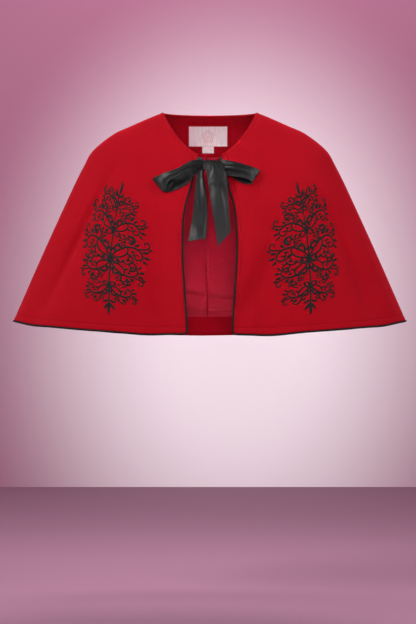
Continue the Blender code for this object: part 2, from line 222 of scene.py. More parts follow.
def mesh_piece(name: str, points: Array, quads: Array, uv: Array) -> bpy.types.Object:
    """A smooth-shaded object of four-sided faces, at the origin and linked to the scene.

    Args:
        name: Name of the piece.
        points: Places of its points.
        quads: Point numbers of its faces.
        uv: Pattern places of each face's corners, in metres of cloth.

    Returns:
        The object.
    """
    quads, uv = face_outwards(points, quads, uv)
    mesh = bpy.data.meshes.new(name)
    mesh.vertices.add(len(points))
    mesh.vertices.foreach_set("co", points.astype(np.float32).ravel())
    mesh.loops.add(quads.size)
    mesh.loops.foreach_set("vertex_index", quads.astype(np.int32).ravel())
    mesh.polygons.add(len(quads))
    mesh.polygons.foreach_set("loop_start", np.arange(0, quads.size, 4, dtype=np.int32))
    layer = mesh.uv_layers.new(name="cloth")
    layer.uv.foreach_set("vector", uv.astype(np.float32).ravel())
    mesh.update(calc_edges=True)
    mesh.validate()
    mesh.shade_smooth()
    piece = bpy.data.objects.new(name, mesh)
    bpy.context.scene.collection.objects.link(piece)
    return piece


def closed_sheet(
    name: str,
    face: Array,
    normal: Array,
    thickness: float,
    edge: Array,
    uv: Array,
    inner: Array | float = 0.0,
) -> bpy.types.Object:
    """A closed thin sheet under a grid of its outer face, with a rounded rim.

    Each point stands off the middle layer by half the thickness times sqrt(1 - (1 - d / r)^2), where d is its
    distance from the rim and r half the thickness. The two faces share the points of the rim.

    Args:
        name: Name of the piece.
        face: Grid of points on the outer face, wound down and then across.
        normal: Outward unit normals at the points.
        thickness: Thickness of the cloth.
        edge: Distance of each point from the nearest rim.
        uv: Pattern place of each point, in metres of cloth.
        inner: How much further in the inner face stands, such as where a band is sewn to it.

    Returns:
        The object.
    """
    rows, columns = face.shape[:2]
    half = thickness / 2
    lift = half * np.sqrt(1 - (1 - np.clip(edge / half, 0, 1)) ** 2)
    lift[[0, -1], :] = 0
    lift[:, [0, -1]] = 0
    middle = face - half * normal
    outer = middle + lift[..., None] * normal
    under = middle - (lift + inner)[..., None] * normal
    front = np.arange(rows * columns).reshape(rows, columns)
    back = front.copy()
    back[1:-1, 1:-1] = rows * columns + np.arange((rows - 2) * (columns - 2)).reshape(rows - 2, columns - 2)
    points = np.concatenate([outer.reshape(-1, 3), under[1:-1, 1:-1].reshape(-1, 3)])
    places = np.concatenate([uv.reshape(-1, 2), uv[1:-1, 1:-1].reshape(-1, 2)])
    quads = np.concatenate([quads_of(front), quads_of(back)[:, ::-1]])
    return mesh_piece(name, points, quads, places[quads])


def ringed_piece(name: str, rings: Array, run: Array, girth: float) -> bpy.types.Object:
    """One object of many closed parts, each a row of rings with flat ends.

    A side face joins two neighbouring points of one ring with those of the next. An end is closed by strips
    between opposite points, so a ring has an even number of points.

    Args:
        name: Name of the piece.
        rings: Points as parts, rings, points round a ring, and coordinates.
        run: Distance along each part at each ring.
        girth: Distance round a ring.

    Returns:
        The object.
    """
    parts, count, sides = rings.shape[:3]
    number = np.arange(parts * count * sides).reshape(parts, count, sides)
    there = np.roll(number, -1, axis=2)
    corners = (number[:, :-1], number[:, 1:], there[:, 1:], there[:, :-1])
    walls = np.stack(corners, axis=-1).reshape(-1, 4)
    across = np.broadcast_to(np.arange(sides) * girth / sides, (parts, count - 1, sides))
    here = np.broadcast_to(run[:, :-1, None], across.shape)
    ahead = np.broadcast_to(run[:, 1:, None], across.shape)
    step = girth / sides
    wall_uv = np.stack([here, across, ahead, across, ahead, across + step, here, across + step], axis=-1)
    k = np.arange(sides // 2 - 1)
    strip = np.stack([k, k + 1, sides - 2 - k, sides - 1 - k], axis=-1)
    ends = np.concatenate([number[:, 0][:, strip], number[:, -1][:, strip[:, ::-1]]]).reshape(-1, 4)
    quads = np.concatenate([walls, ends])
    uv = np.concatenate([wall_uv.reshape(-1, 4, 2), np.zeros((len(ends), 4, 2))])
    return mesh_piece(name, rings.reshape(-1, 3), quads, uv)


def thread_piece(name: str, centre: Array, up: Array, width: Array, rise: Array) -> bpy.types.Object:
    """Raised threads: low domes carried along many lines at once, in one object.

    The section has six points, at -1, -0.8, -0.3, 0.3, 0.8 and 1 half widths across and 0, 0.6, 1, 1, 0.6 and 0
    rises up, and its two ends sink a little way into the cloth.

    Args:
        name: Name of the piece.
        centre: Points of the lines, as lines, points and coordinates.
        up: Unit normals of the cloth at the points.
        width: Full width at each point.
        rise: Height at each point.

    Returns:
        The object.
    """
    heading = unit(np.gradient(centre, axis=1))
    across = unit(np.cross(heading, up))
    spread = np.array([-1, -0.8, -0.3, 0.3, 0.8, 1]) / 2
    height = np.array([-0.3, 0.6, 1, 1, 0.6, -0.3])
    sideways = (width[..., None] * spread)[..., None] * across[:, :, None]
    upwards = (rise[..., None] * height)[..., None] * up[:, :, None]
    rings = centre[:, :, None] + sideways + upwards
    steps = np.linalg.norm(np.diff(centre, axis=1), axis=-1)
    run = np.concatenate([np.zeros((len(centre), 1)), np.cumsum(steps, axis=1)], axis=1)
    return ringed_piece(name, rings, run, float(width.mean()) * 2)


def hand_over(piece: bpy.types.Object, slot: Slot, finish: bpy.types.Material, node: str | None = None) -> None:
    """Gives a piece its finish, ties it to the cape and reports it.

    Args:
        piece: The finished object.
        slot: Slot of the record that its finish belongs to.
        finish: Its material.
        node: Solid that the piece stands for, if any.
    """
    if not piece.data.materials:
        piece.data.materials.append(finish)
    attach(piece, BODY)
    if node is not None:
        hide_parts(node)
    LOG.info("%s: %d faces, %s", piece.name, len(piece.data.polygons), slot.value)


@dataclass
class CapeForm:
    """The cape's outer face: rings between a side, a front and a back outline, with soft folds pushed in."""

    side_profile: Rows = (
        # half width, height
        (0.098, 0.000), (0.132, -0.014), (0.1655, -0.029), (0.202, -0.046),
        (0.2445, -0.080), (0.2645, -0.114), (0.2892, -0.164), (0.3505, -0.299),
        (0.410, -0.4353),
    )
    front_profile: Rows = (
        # depth towards the front, height
        (0.080, -0.099), (0.097, -0.130), (0.117, -0.175), (0.136, -0.225),
        (0.154, -0.290), (0.171, -0.355), (0.185, -0.415), (0.196, -0.461),
    )
    back_profile: Rows = (
        # depth towards the back, height
        (0.060, 0.000), (0.079, -0.022), (0.099, -0.060), (0.117, -0.110),
        (0.133, -0.170), (0.151, -0.240), (0.169, -0.315), (0.186, -0.390),
        (0.201, -0.466),
    )
    front_edge: Rows = (
        # height, half of the open front between its two corded edges
        (-0.095, 0.0222), (-0.110, 0.0262), (-0.139, 0.0329), (-0.174, 0.0416),
        (-0.205, 0.0499), (-0.237, 0.0538), (-0.280, 0.0552), (-0.312, 0.0547),
        (-0.368, 0.0511), (-0.422, 0.0475), (-0.468, 0.0448),
    )
    folds: Rows = (
        # angle at neck, angle at hem, spread in degrees, depth at hem
        (27, 14, 8, 0.0060),
        (48, 59, 9, 0.0080),
        (-23, -18, 7, 0.0045),
        (-50, -62, 9, 0.0080),
        (104, 108, 9, 0.0075),
        (128, 133, 10, 0.0085),
        (154, 158, 9, 0.0070),
        (-177, -177, 8, 0.0050),
        (-151, -154, 9, 0.0080),
        (-126, -129, 10, 0.0070),
        (-103, -106, 8, 0.0080),
    )
    creases: Rows = (
        # angle and share at one end, angle and share at the other, half width, depth
        (27.1, 0.46, 9.0, 0.86, 0.014, 0.0062),
        (15.0, 0.68, 6.5, 0.99, 0.017, 0.0040),
        (24.0, 0.52, 13.0, 1.12, 0.034, 0.0155),
        (-22.0, 0.54, -12.5, 1.12, 0.030, 0.0103),
        (12.7, 0.78, 9.6, 0.99, 0.0055, -0.0036),
        (57.3, 0.46, 55.0, 0.90, 0.015, 0.0070),
        (51.0, 0.40, 46.0, 0.84, 0.015, -0.0022),
        (70.0, 0.66, 69.0, 1.00, 0.015, -0.0030),
        (36.0, 0.10, 20.0, 0.34, 0.014, 0.0018),
        (-23.6, 0.48, -14.0, 0.88, 0.013, 0.0042),
        (-15.8, 0.66, -10.5, 0.99, 0.007, -0.0036),
        (-54.0, 0.32, -58.1, 0.90, 0.015, 0.0076),
        (-73.0, 0.36, -80.0, 0.80, 0.018, -0.0026),
        (-61.0, 0.31, -47.0, 0.27, 0.013, 0.0024),
        (-34.0, 0.08, -25.0, 0.30, 0.014, 0.0016),
        (-43.0, 0.56, -38.0, 0.95, 0.016, -0.0020),
        (118, 0.16, 114, 0.56, 0.014, 0.0038),
        (143, 0.34, 148, 0.86, 0.015, 0.0050),
        (169, 0.20, 172, 0.66, 0.014, 0.0030),
        (-165, 0.42, -169, 0.94, 0.016, 0.0048),
        (-139, 0.24, -142, 0.70, 0.014, 0.0040),
        (-116, 0.38, -113, 0.92, 0.015, 0.0046),
        (96, 0.44, 97, 0.93, 0.016, -0.0024),
        (-95, 0.40, -94, 0.90, 0.016, -0.0026),
    )
    hem_squareness: float = 0.25
    ring_fall: float = 1.88
    fold_growth: float = 1.6
    seam_gap: float = 0.00024
    mean_radius: float = 0.30
    mean_length: float = 0.48

    def __post_init__(self) -> None:
        """Works out the smooth outlines once."""
        self.side = smooth_line(self.side_profile)
        self.front = smooth_line(self.front_profile)
        self.back = smooth_line(self.back_profile)
        self.edge = smooth_line(self.front_edge)

    def squareness(self, share: Array) -> Array:
        """Exponent of the ring: 2 is an ellipse, and more is squarer."""
        return 2 + self.hem_squareness * np.clip(share, 0, 1)

    def bare_ring(self, angle: Array, share: Array) -> Array:
        """The outer face with no folds in it.

        x is the half width times sin(angle)^(2/n), y the depth times -cos(angle)^(2/n), both with the sign of
        the sine or cosine, and z falls from the side to the middle by |cos(angle)|^ring_fall.

        Args:
            angle: Angle round the body from the middle of the front, in radians.
            share: Share of the way from the neck to the hem.

        Returns:
            Points.
        """
        side, front, back = along(self.side, share), along(self.front, share), along(self.back, share)
        sine, cosine = np.sin(angle), np.cos(angle)
        middle = np.where((cosine > 0)[..., None], front, back)
        power = 2 / self.squareness(share)
        x = side[..., 0] * np.sign(sine) * np.abs(sine) ** power
        y = -middle[..., 0] * np.sign(cosine) * np.abs(cosine) ** power
        z = side[..., 1] + (middle[..., 1] - side[..., 1]) * np.abs(cosine) ** self.ring_fall
        return np.stack([x, y, z], axis=-1)

    @staticmethod
    def outward(surface: Surface, angle: Array, share: Array, step: float = 1e-3) -> Array:
        """Unit normals that point away from the wearer: the steps down and around, crossed.

        Args:
            surface: Gives a point for an angle and a share.
            angle: Angles round the body.
            share: Shares of the way down.
            step: Step of angle and share.

        Returns:
            Normals.
        """
        around = surface(angle + step, share) - surface(angle - step, share)
        down = surface(angle, share + step) - surface(angle, share - step)
        return unit(np.cross(down, around))

    def fold_depth(self, angle: Array, share: Array) -> Array:
        """How far folds and creases push the cloth in.

        A fold is a bell across its middle line, and deepens as the share to the power of fold_growth. A crease
        is a bell across a straight line between its two ends, times 0.35 + 0.65 sin(pi t) at t along it.

        Args:
            angle: Angles round the body.
            share: Shares of the way down.

        Returns:
            Depths in metres.
        """
        depth = np.zeros(np.broadcast(angle, share).shape)
        for at_neck, at_hem, spread, most in self.folds:
            centre = math.radians(at_neck) + math.radians(at_hem - at_neck) * share
            away = (angle - centre + math.pi) % (2 * math.pi) - math.pi
            depth += most * np.clip(share, 0, 2) ** self.fold_growth * bell(away / math.radians(spread))
        for start, top, end, low, wide, most in self.creases:
            turn = (angle - math.radians(start) + math.pi) % (2 * math.pi) - math.pi
            line = (math.radians(end - start) * self.mean_radius, (low - top) * self.mean_length)
            run, off, past = beside(turn * self.mean_radius, (share - top) * self.mean_length, *line)
            fade = 0.35 + 0.65 * np.sin(np.pi * np.clip(run, 0, 1))
            depth += most * fade * bell(off / wide) * bell(past / (1.6 * wide))
        return depth

    def skin(self, angle: Array, share: Array) -> Array:
        """The outer face, folds and all."""
        push = self.fold_depth(angle, share)[..., None]
        return self.bare_ring(angle, share) - push * self.outward(self.bare_ring, angle, share)

    def rates(self, angle: Array, share: Array, step: float = 1e-3) -> tuple[Array, Array]:
        """Metres of cloth for a step of one radian round the body, and for a step of one share down it.

        Args:
            angle: Angles round the body.
            share: Shares of the way down.
            step: Step that the rates are measured over.

        Returns:
            The two rates.
        """
        around = self.skin(angle + step, share) - self.skin(angle - step, share)
        down = self.skin(angle, share + step) - self.skin(angle, share - step)
        return np.linalg.norm(around, axis=-1) / (2 * step), np.linalg.norm(down, axis=-1) / (2 * step)

    def seam_angle(self, share: Array, behind: bool) -> Array:
        """Angle at which a ring comes within half a seam's gap of the shoulder and side seam.

        Args:
            share: Shares of the way down.
            behind: Whether the back's side of the seam is meant.

        Returns:
            Angles.
        """
        depth = along(self.back if behind else self.front, share)[..., 0]
        angle = np.arccos((self.seam_gap / 2 / depth) ** (self.squareness(share) / 2))
        return math.pi - angle if behind else angle

    def front_angle(self, share: Array, extra: float, passes: int = 6) -> Array:
        """Angle at which a ring meets the corded front edge, moved sideways.

        Args:
            share: Shares of the way down.
            extra: Sideways move of the edge.
            passes: Passes in which height and width settle each other.

        Returns:
            Angles.
        """
        half = along(self.side, share)[..., 0]
        height = along(self.front, share)[..., 1]
        for _ in range(passes):
            wide = np.interp(-height, -self.edge[:, 0], self.edge[:, 1]) + extra
            angle = np.arcsin(np.clip(wide / half, 0, 1) ** (self.squareness(share) / 2))
            height = self.skin(angle, share)[..., 2]
        return angle

    def locate(self, x: Array, z: Array, behind: bool = False, passes: int = 30) -> tuple[Array, Array]:
        """Angle and share of the outer face behind a point of the front or back view.

        The share is halved towards the ring that passes the wanted height at the wanted x.

        Args:
            x: Sideways places.
            z: Heights.
            behind: Whether the back is meant.
            passes: Number of halvings.

        Returns:
            Angles and shares.
        """
        x, z = np.broadcast_arrays(np.asarray(x, float), np.asarray(z, float))
        low, high = np.zeros(x.shape), np.ones(x.shape)
        for _ in range(passes):
            share = (low + high) / 2
            power = self.squareness(share) / 2
            angle = np.sign(x) * np.arcsin(np.clip(np.abs(x) / along(self.side, share)[..., 0], 0, 1) ** power)
            angle = math.pi - angle if behind else angle
            above = self.bare_ring(angle, share)[..., 2] > z
            low, high = np.where(above, share, low), np.where(above, high, share)
        return angle, share

    def front_depth(self, x: Array, z: Array) -> Array:
        """The y of the front's outer face behind a point of the front view."""
        return self.skin(*self.locate(x, z))[..., 1]

    def layer(self, angle: Array, share: Array, depth: Array | float) -> tuple[Array, Array]:
        """A layer at a depth below the outer face.

        Args:
            angle: Angles round the body.
            share: Shares of the way down.
            depth: Depths in metres.

        Returns:
            Points and outward unit normals.
        """
        normals = self.outward(self.skin, angle, share)
        sunk = np.broadcast_to(np.asarray(depth, float), normals.shape[:-1])
        return self.skin(angle, share) - sunk[..., None] * normals, normals

    def back_ends(self, share: Array) -> tuple[Array, Array]:
        """Angles of the two shoulder and side seams, on the back's side."""
        near = self.seam_angle(share, behind=True)
        return near, 2 * math.pi - near

    def band(self, top: float, low: float, columns: Spacing, rows: Spacing, ends: Ends) -> dict[str, Array]:
        """Angles, shares and edge distances of a band between two shares and two edges.

        Three passes let the spacing of rows and columns settle each other.

        Args:
            top: Share of its upper edge.
            low: Share of its lower edge.
            columns: How the columns are spaced.
            rows: How the rows are spaced.
            ends: First and last angle at a row of shares.

        Returns:
            Arrays by name: angle, share, distances above, below, before and after, and edge, the least of them.
        """
        shares = np.linspace(top, low, len(rows.head) + rows.count + len(rows.tail))
        for _ in range(3):
            first, last = ends(shares)
            rates = [self.rates(edge, shares)[0] for edge in (first, last)]
            angle, before, after = (part.T for part in columns.lay(first, last, *rates))
            high, deep = np.full(angle.shape[1], top), np.full(angle.shape[1], low)
            down = [self.rates(angle[row], edge)[1] for row, edge in ((0, high), (-1, deep))]
            share, above, below = rows.lay(high, deep, *down)
            shares = share.mean(axis=1)
        grid = {"above": above, "below": below, "before": before, "after": after}
        return {"edge": np.minimum.reduce(list(grid.values())), "angle": angle, "share": share, **grid}

    def band_piece(
        self, name: str, grid: dict[str, Array], depth: Array | float, thickness: float, inner: Array | float = 0.0
    ) -> bpy.types.Object:
        """A closed sheet on a band's grid.

        Args:
            name: Name of the piece.
            grid: The band.
            depth: How far its outer face lies below the cape's.
            thickness: Thickness of the cloth.
            inner: How much further in its inner face stands.

        Returns:
            The object.
        """
        points, normals = self.layer(grid["angle"], grid["share"], depth)
        uv = np.stack([grid["before"], grid["above"]], axis=-1)
        return closed_sheet(name, points, normals, thickness, grid["edge"], uv, inner)


class Tree:
    """A node tree with short ways to add and join nodes."""

    def __init__(self, tree: bpy.types.NodeTree) -> None:
        """Keeps the tree."""
        self.tree = tree

    def feed(self, value: object, socket: bpy.types.NodeSocket) -> None:
        """Links another node's output to a socket, or sets a plain value on it."""
        if isinstance(value, bpy.types.NodeSocket):
            self.tree.links.new(value, socket)
        else:
            socket.default_value = value

    def add(self, kind: str, inputs: dict | None = None, **settings: object) -> bpy.types.Node:
        """Adds a node.

        Args:
            kind: Its type, without the ShaderNode at its start.
            inputs: Values or other nodes' outputs for its sockets, by name or number.
            settings: Its own properties.

        Returns:
            The node.
        """
        node = self.tree.nodes.new(kind if kind.startswith("Node") else "ShaderNode" + kind)
        for key, value in settings.items():
            setattr(node, key, value)
        for key, value in (inputs or {}).items():
            self.feed(value, node.inputs[key])
        return node

    def cloth(self) -> bpy.types.NodeSocket:
        """The place on the piece's own pattern."""
        return self.add("UVMap").outputs[0]

    def place(self) -> bpy.types.NodeSocket:
        """The place in the cape's frame."""
        return self.add("TexCoord").outputs["Object"]

    def effect(self, group: bpy.types.NodeTree, place: object, **values: float) -> dict:
        """Outputs of a shared effect at a place, with its other inputs named in lower case."""
        inputs = {label.capitalize(): value for label, value in values.items()}
        return self.add("Group", {"Place": place, **inputs}, node_tree=group).outputs

    def noise(self, place: object, scale: object, detail: float, distortion: float = 0.0) -> bpy.types.NodeSocket:
        """Value of a noise at a place."""
        inputs = {"Vector": place, "Scale": scale, "Detail": detail, "Distortion": distortion}
        return self.add("TexNoise", inputs).outputs[0]

    def moved(self, place: object, **change: tuple[float, float, float]) -> bpy.types.NodeSocket:
        """A place shifted, turned or scaled by a Mapping node."""
        inputs = {label.capitalize(): value for label, value in change.items()}
        return self.add("Mapping", {"Vector": place, **inputs}).outputs[0]

    def math(self, operation: str, first: object, second: object = 0.0) -> bpy.types.NodeSocket:
        """Result of a Math node on two numbers or sockets."""
        return self.add("Math", {0: first, 1: second}, operation=operation).outputs[0]

    def vector(self, operation: str, *inputs: object) -> bpy.types.NodeSocket:
        """Result of a Vector Math node, a number for a length and a vector otherwise."""
        node = self.add("VectorMath", dict(enumerate(inputs)), operation=operation)
        return node.outputs["Value" if operation == "LENGTH" else "Vector"]

    def ramp(self, value: object, low: float, high: float, to_low: float, to_high: float) -> bpy.types.NodeSocket:
        """A value carried smoothly from one range to another."""
        inputs = {"Value": value, "From Min": low, "From Max": high, "To Min": to_low, "To Max": to_high}
        return self.add("MapRange", inputs, interpolation_type="SMOOTHSTEP").outputs["Result"]

    def mix(self, share: object, first: object, second: object) -> bpy.types.NodeSocket:
        """A colour between two others."""
        ends = [(*colour, 1.0) if isinstance(colour, tuple) else colour for colour in (first, second)]
        return self.add("Mix", {"Factor": share, 6: ends[0], 7: ends[1]}, data_type="RGBA").outputs[2]


def effect_group(name: str, inputs: dict[str, float], outputs: Sequence[str]) -> tuple[Tree, dict, dict]:
    """An empty shader node group that takes a place and plain numbers, and gives plain numbers.

    Args:
        name: Name of the group.
        inputs: Usual values of its number inputs, which follow the input Place.
        outputs: Names of its outputs.

    Returns:
        Its tree, its input sockets and its output sockets by name.
    """
    group = bpy.data.node_groups.new(name, "ShaderNodeTree")
    group.interface.new_socket("Place", in_out="INPUT", socket_type="NodeSocketVector")
    for label, value in inputs.items():
        group.interface.new_socket(label, in_out="INPUT", socket_type="NodeSocketFloat").default_value = value
    for label in outputs:
        group.interface.new_socket(label, in_out="OUTPUT", socket_type="NodeSocketFloat")
    tree = Tree(group)
    return tree, tree.add("NodeGroupInput").outputs, tree.add("NodeGroupOutput").inputs


def nap_group() -> bpy.types.NodeTree:
    """Felted wool nap: fine fibres, small tufts and slow uneven dye, from layered noise.

    Returns:
        The group. Fibre and Patch are in repeats for each metre.
    """
    outputs = ("Height", "Tone", "Patchiness")
    tree, entry, leave = effect_group("wool nap", {"Fibre": 1400.0, "Patch": 14.0}, outputs)
    fine = tree.noise(entry["Place"], entry["Fibre"], 3.0)
    tuft = tree.noise(entry["Place"], tree.math("MULTIPLY", entry["Fibre"], 0.23), 2.0)
    slow = tree.noise(entry["Place"], entry["Patch"], 2.0)
    height = tree.math("ADD", tree.math("MULTIPLY", fine, 0.6), tree.math("MULTIPLY", tuft, 0.4))
    tree.feed(height, leave["Height"])
    tree.feed(tree.ramp(height, 0.3, 0.7, 0, 1), leave["Tone"])
    tree.feed(tree.ramp(slow, 0.3, 0.7, 0, 1), leave["Patchiness"])
    return tree.tree


def weave_group() -> bpy.types.NodeTree:
    """Woven threads: two sets of ridges that cross, with the threads' own slight unevenness.

    Returns:
        The group. Threads is in threads for each metre, and Lean is the second set's strength.
    """
    tree, entry, leave = effect_group("thread weave", {"Threads": 2500.0, "Lean": 0.5}, ("Height", "Slub"))
    split = tree.add("SeparateXYZ", {"Vector": entry["Place"]}).outputs
    pitch = tree.math("MULTIPLY", entry["Threads"], 2 * math.pi)
    warp, weft = (tree.math("SINE", tree.math("MULTIPLY", split[axis], pitch)) for axis in (0, 1))
    height = tree.math("ADD", warp, tree.math("MULTIPLY", weft, entry["Lean"]))
    slub = tree.noise(tree.vector("MULTIPLY", entry["Place"], (900.0, 25.0, 1.0)), 1.0, 2.0)
    tree.feed(tree.ramp(height, -1.5, 1.5, 0, 1), leave["Height"])
    tree.feed(tree.ramp(slub, 0.35, 0.65, 0, 1), leave["Slub"])
    return tree.tree


def ripple_group() -> bpy.types.NodeTree:
    """Shallow crumples of thin satin, from soft noise. Crumple is in repeats for each metre."""
    tree, entry, leave = effect_group("satin ripple", {"Crumple": 40.0}, ("Height",))
    tree.feed(tree.noise(entry["Place"], entry["Crumple"], 1.0, 0.6), leave["Height"])
    return tree.tree


NAP, WEAVE, RIPPLE = nap_group(), weave_group(), ripple_group()


@dataclass(frozen=True)
class Finish:
    """A cloth finish. Subclasses add the nodes that give it colour, roughness and relief."""

    name: str
    roughness: float
    sheen: float = 0.0
    sheen_roughness: float = 0.4
    sheen_tint: Colour = (1.0, 1.0, 1.0)
    specular: float = 0.5
    anisotropy: float = 0.0

    def make(self) -> bpy.types.Material:
        """Builds the material, with its constant values set on the shader's own sockets."""
        made = bpy.data.materials.new(self.name)
        made.use_nodes = True
        shader = made.node_tree.nodes["Principled BSDF"]
        constants = {
            "Roughness": self.roughness,
            "Specular IOR Level": self.specular,
            "Sheen Weight": self.sheen,
            "Sheen Roughness": self.sheen_roughness,
            "Sheen Tint": (*self.sheen_tint, 1.0),
            "Anisotropic": self.anisotropy,
        }
        for label, value in constants.items():
            shader.inputs[label].default_value = value
        self.dress(Tree(made.node_tree), shader)
        return made

    def dress(self, tree: Tree, shader: bpy.types.Node) -> None:
        """Adds the finish's own nodes."""
        raise NotImplementedError

    @staticmethod
    def show(tree: Tree, shader: bpy.types.Node, colour: object, *layers: tuple[object, float]) -> None:
        """Feeds the shader's colour, and chains Bump nodes into its Normal.

        Args:
            tree: The material's tree.
            shader: Its shader.
            colour: Socket of the colour.
            layers: Rows of height socket and relief in metres.
        """
        tree.feed(colour, shader.inputs["Base Color"])
        normal = {}
        for height, relief in layers:
            inputs = {"Height": height, "Distance": relief, "Strength": 1.0, **normal}
            normal = {"Normal": tree.add("Bump", inputs).outputs["Normal"]}
        for label, socket in normal.items():
            tree.feed(socket, shader.inputs[label])


@dataclass(frozen=True)
class WoolFinish(Finish):
    """Melton wool: a matt felted face with a short nap."""

    sheen_roughness: float = 0.5
    sheen_tint: Colour = (0.85, 0.07, 0.11)
    deep: Colour = (0.37, 0.0020, 0.0085)
    light: Colour = (0.45, 0.0035, 0.0120)
    fibre: float = 1400.0
    threads: float = 620.0
    tone: float = 0.55
    patchiness: float = 0.30
    relief: float = 0.00022
    thread_relief: float = 0.000055
    start: Colour = (0.31, 0.17, 0.23)

    def dress(self, tree: Tree, shader: bpy.types.Node) -> None:
        """Colours the nap by its tufts and slow patches, and raises it.

        Args:
            tree: The material's tree.
            shader: Its shader.
        """
        nap = tree.effect(NAP, tree.moved(tree.place(), location=self.start), fibre=self.fibre)
        weave = tree.effect(WEAVE, tree.cloth(), threads=self.threads, lean=1.0)
        much = (("Tone", self.tone), ("Patchiness", self.patchiness))
        share = tree.math("ADD", *(tree.math("MULTIPLY", nap[name], part) for name, part in much))
        colour = tree.mix(share, self.deep, self.light)
        self.show(tree, shader, colour, (nap["Height"], self.relief), (weave["Height"], self.thread_relief))


@dataclass(frozen=True)
class SatinFinish(Finish):
    """Woven satin: long smooth threads, faint slubs and shallow crumples."""

    deep: Colour = (0.46, 0.0092, 0.0270)
    light: Colour = (0.50, 0.0118, 0.0310)
    threads: float = 2600.0
    crumple: float = 34.0
    crumple_relief: float = 0.0012
    thread_relief: float = 0.00005
    lean: float = 0.25
    stretch: Colour = (1.0, 1.0, 0.45)
    uneven: float = 0.03

    def dress(self, tree: Tree, shader: bpy.types.Node) -> None:
        """Colours the threads by their slubs, and raises the weave and the crumples.

        Args:
            tree: The material's tree.
            shader: Its shader.
        """
        weave = tree.effect(WEAVE, tree.cloth(), threads=self.threads, lean=self.lean)
        ripple = tree.effect(RIPPLE, tree.moved(tree.place(), scale=self.stretch), crumple=self.crumple)
        gloss = tree.ramp(weave["Slub"], 0, 1, self.roughness + self.uneven, self.roughness - self.uneven)
        tree.feed(gloss, shader.inputs["Roughness"])
        layers = ((ripple["Height"], self.crumple_relief), (weave["Height"], self.thread_relief))
        self.show(tree, shader, tree.mix(weave["Slub"], self.deep, self.light), *layers)


@dataclass(frozen=True)
class ThreadFinish(Finish):
    """Sewing or embroidery thread: fine strands that lie side by side."""

    deep: Colour = (0.006, 0.006, 0.0065)
    light: Colour = (0.015, 0.0155, 0.017)
    strands: float = 2400.0
    patches: float = 220.0
    least_share: float = 0.4
    relief: float = 0.00010

    def dress(self, tree: Tree, shader: bpy.types.Node) -> None:
        """Raises the strands, which cross the stitched line, and colours them darker in the dips between strands and
        lighter on their crests: painted shade and highlight.

        Args:
            tree: The material's tree.
            shader: Its shader.
        """
        weave = tree.effect(WEAVE, tree.cloth(), threads=self.strands, lean=0.0)
        slow = tree.ramp(tree.noise(tree.place(), self.patches, 2.0), 0.3, 0.7, self.least_share, 1.0)
        # Painted shade and highlight: the colour follows the strands' height, darker in the dips and lighter on the
        # crests, pulled towards the darker colour in slow random patches.
        share = tree.math("MULTIPLY", weave["Height"], slow)
        self.show(tree, shader, tree.mix(share, self.deep, self.light), (weave["Height"], self.relief))


@dataclass(frozen=True)
class CordFinish(Finish):
    """Bias-cut satin wrapped round a cord, with its weave on the slant."""

    deep: Colour = (0.0055, 0.0065, 0.0068)
    light: Colour = (0.012, 0.014, 0.0145)
    threads: float = 1500.0
    lean: float = 0.4
    slant: float = math.radians(45)
    relief: float = 0.00008

    def dress(self, tree: Tree, shader: bpy.types.Node) -> None:
        """Turns the weave and colours its slubs.

        Args:
            tree: The material's tree.
            shader: Its shader.
        """
        cloth = tree.moved(tree.cloth(), rotation=(0.0, 0.0, self.slant))
        weave = tree.effect(WEAVE, cloth, threads=self.threads, lean=self.lean)
        self.show(tree, shader, tree.mix(weave["Slub"], self.deep, self.light), (weave["Height"], self.relief))


@dataclass(frozen=True)
class LabelFinish(Finish):
    """Woven satin label: pale cloth, bare or with a plain five-petalled blossom in a rosy thread."""

    sheen: float = 0.1
    sheen_roughness: float = 0.3
    sheen_tint: Colour = (1.0, 0.9, 0.9)
    specular: float = 0.4
    ground: Colour = (0.99, 0.93, 0.935)
    shade: Colour = (0.86, 0.70, 0.73)
    thread: Colour = (0.72, 0.36, 0.44)
    petals: float = 5.0
    rings: Rows = (
        # radius, swell towards the petals' tips
        (0.0118, 0.0017), (0.0074, 0.0012), (0.0016, 0.0),
    )
    line: float = 0.0011
    strength: float = 0.8
    threads: float = 900.0
    lean: float = 0.6
    crumple: float = 60.0
    crumple_relief: float = 0.0010
    thread_relief: float = 0.00008
    marked: bool = True

    def dress(self, tree: Tree, shader: bpy.types.Node) -> None:
        """Draws each ring of petals where the distance from the middle is radius + swell * cos(petals * angle).

        Args:
            tree: The material's tree.
            shader: Its shader.
        """
        cloth = tree.cloth()
        weave = tree.effect(WEAVE, cloth, threads=self.threads, lean=self.lean)
        ripple = tree.effect(RIPPLE, tree.place(), crumple=self.crumple)
        split = tree.add("SeparateXYZ", {"Vector": cloth}).outputs
        distance = tree.vector("LENGTH", cloth)
        wave = tree.math("COSINE", tree.math("MULTIPLY", tree.math("ARCTAN2", split[0], split[1]), self.petals))
        mark = 0.0
        for radius, swell in self.rings if self.marked else ():
            petal = tree.math("ADD", radius, tree.math("MULTIPLY", wave, swell))
            off = tree.math("ABSOLUTE", tree.math("SUBTRACT", distance, petal))
            mark = tree.math("MAXIMUM", mark, tree.ramp(off, self.line * 0.4, self.line, self.strength, 0.0))
        colour = tree.mix(mark, tree.mix(weave["Slub"], self.shade, self.ground), self.thread)
        layers = ((ripple["Height"], self.crumple_relief), (weave["Height"], self.thread_relief))
        self.show(tree, shader, colour, *layers)


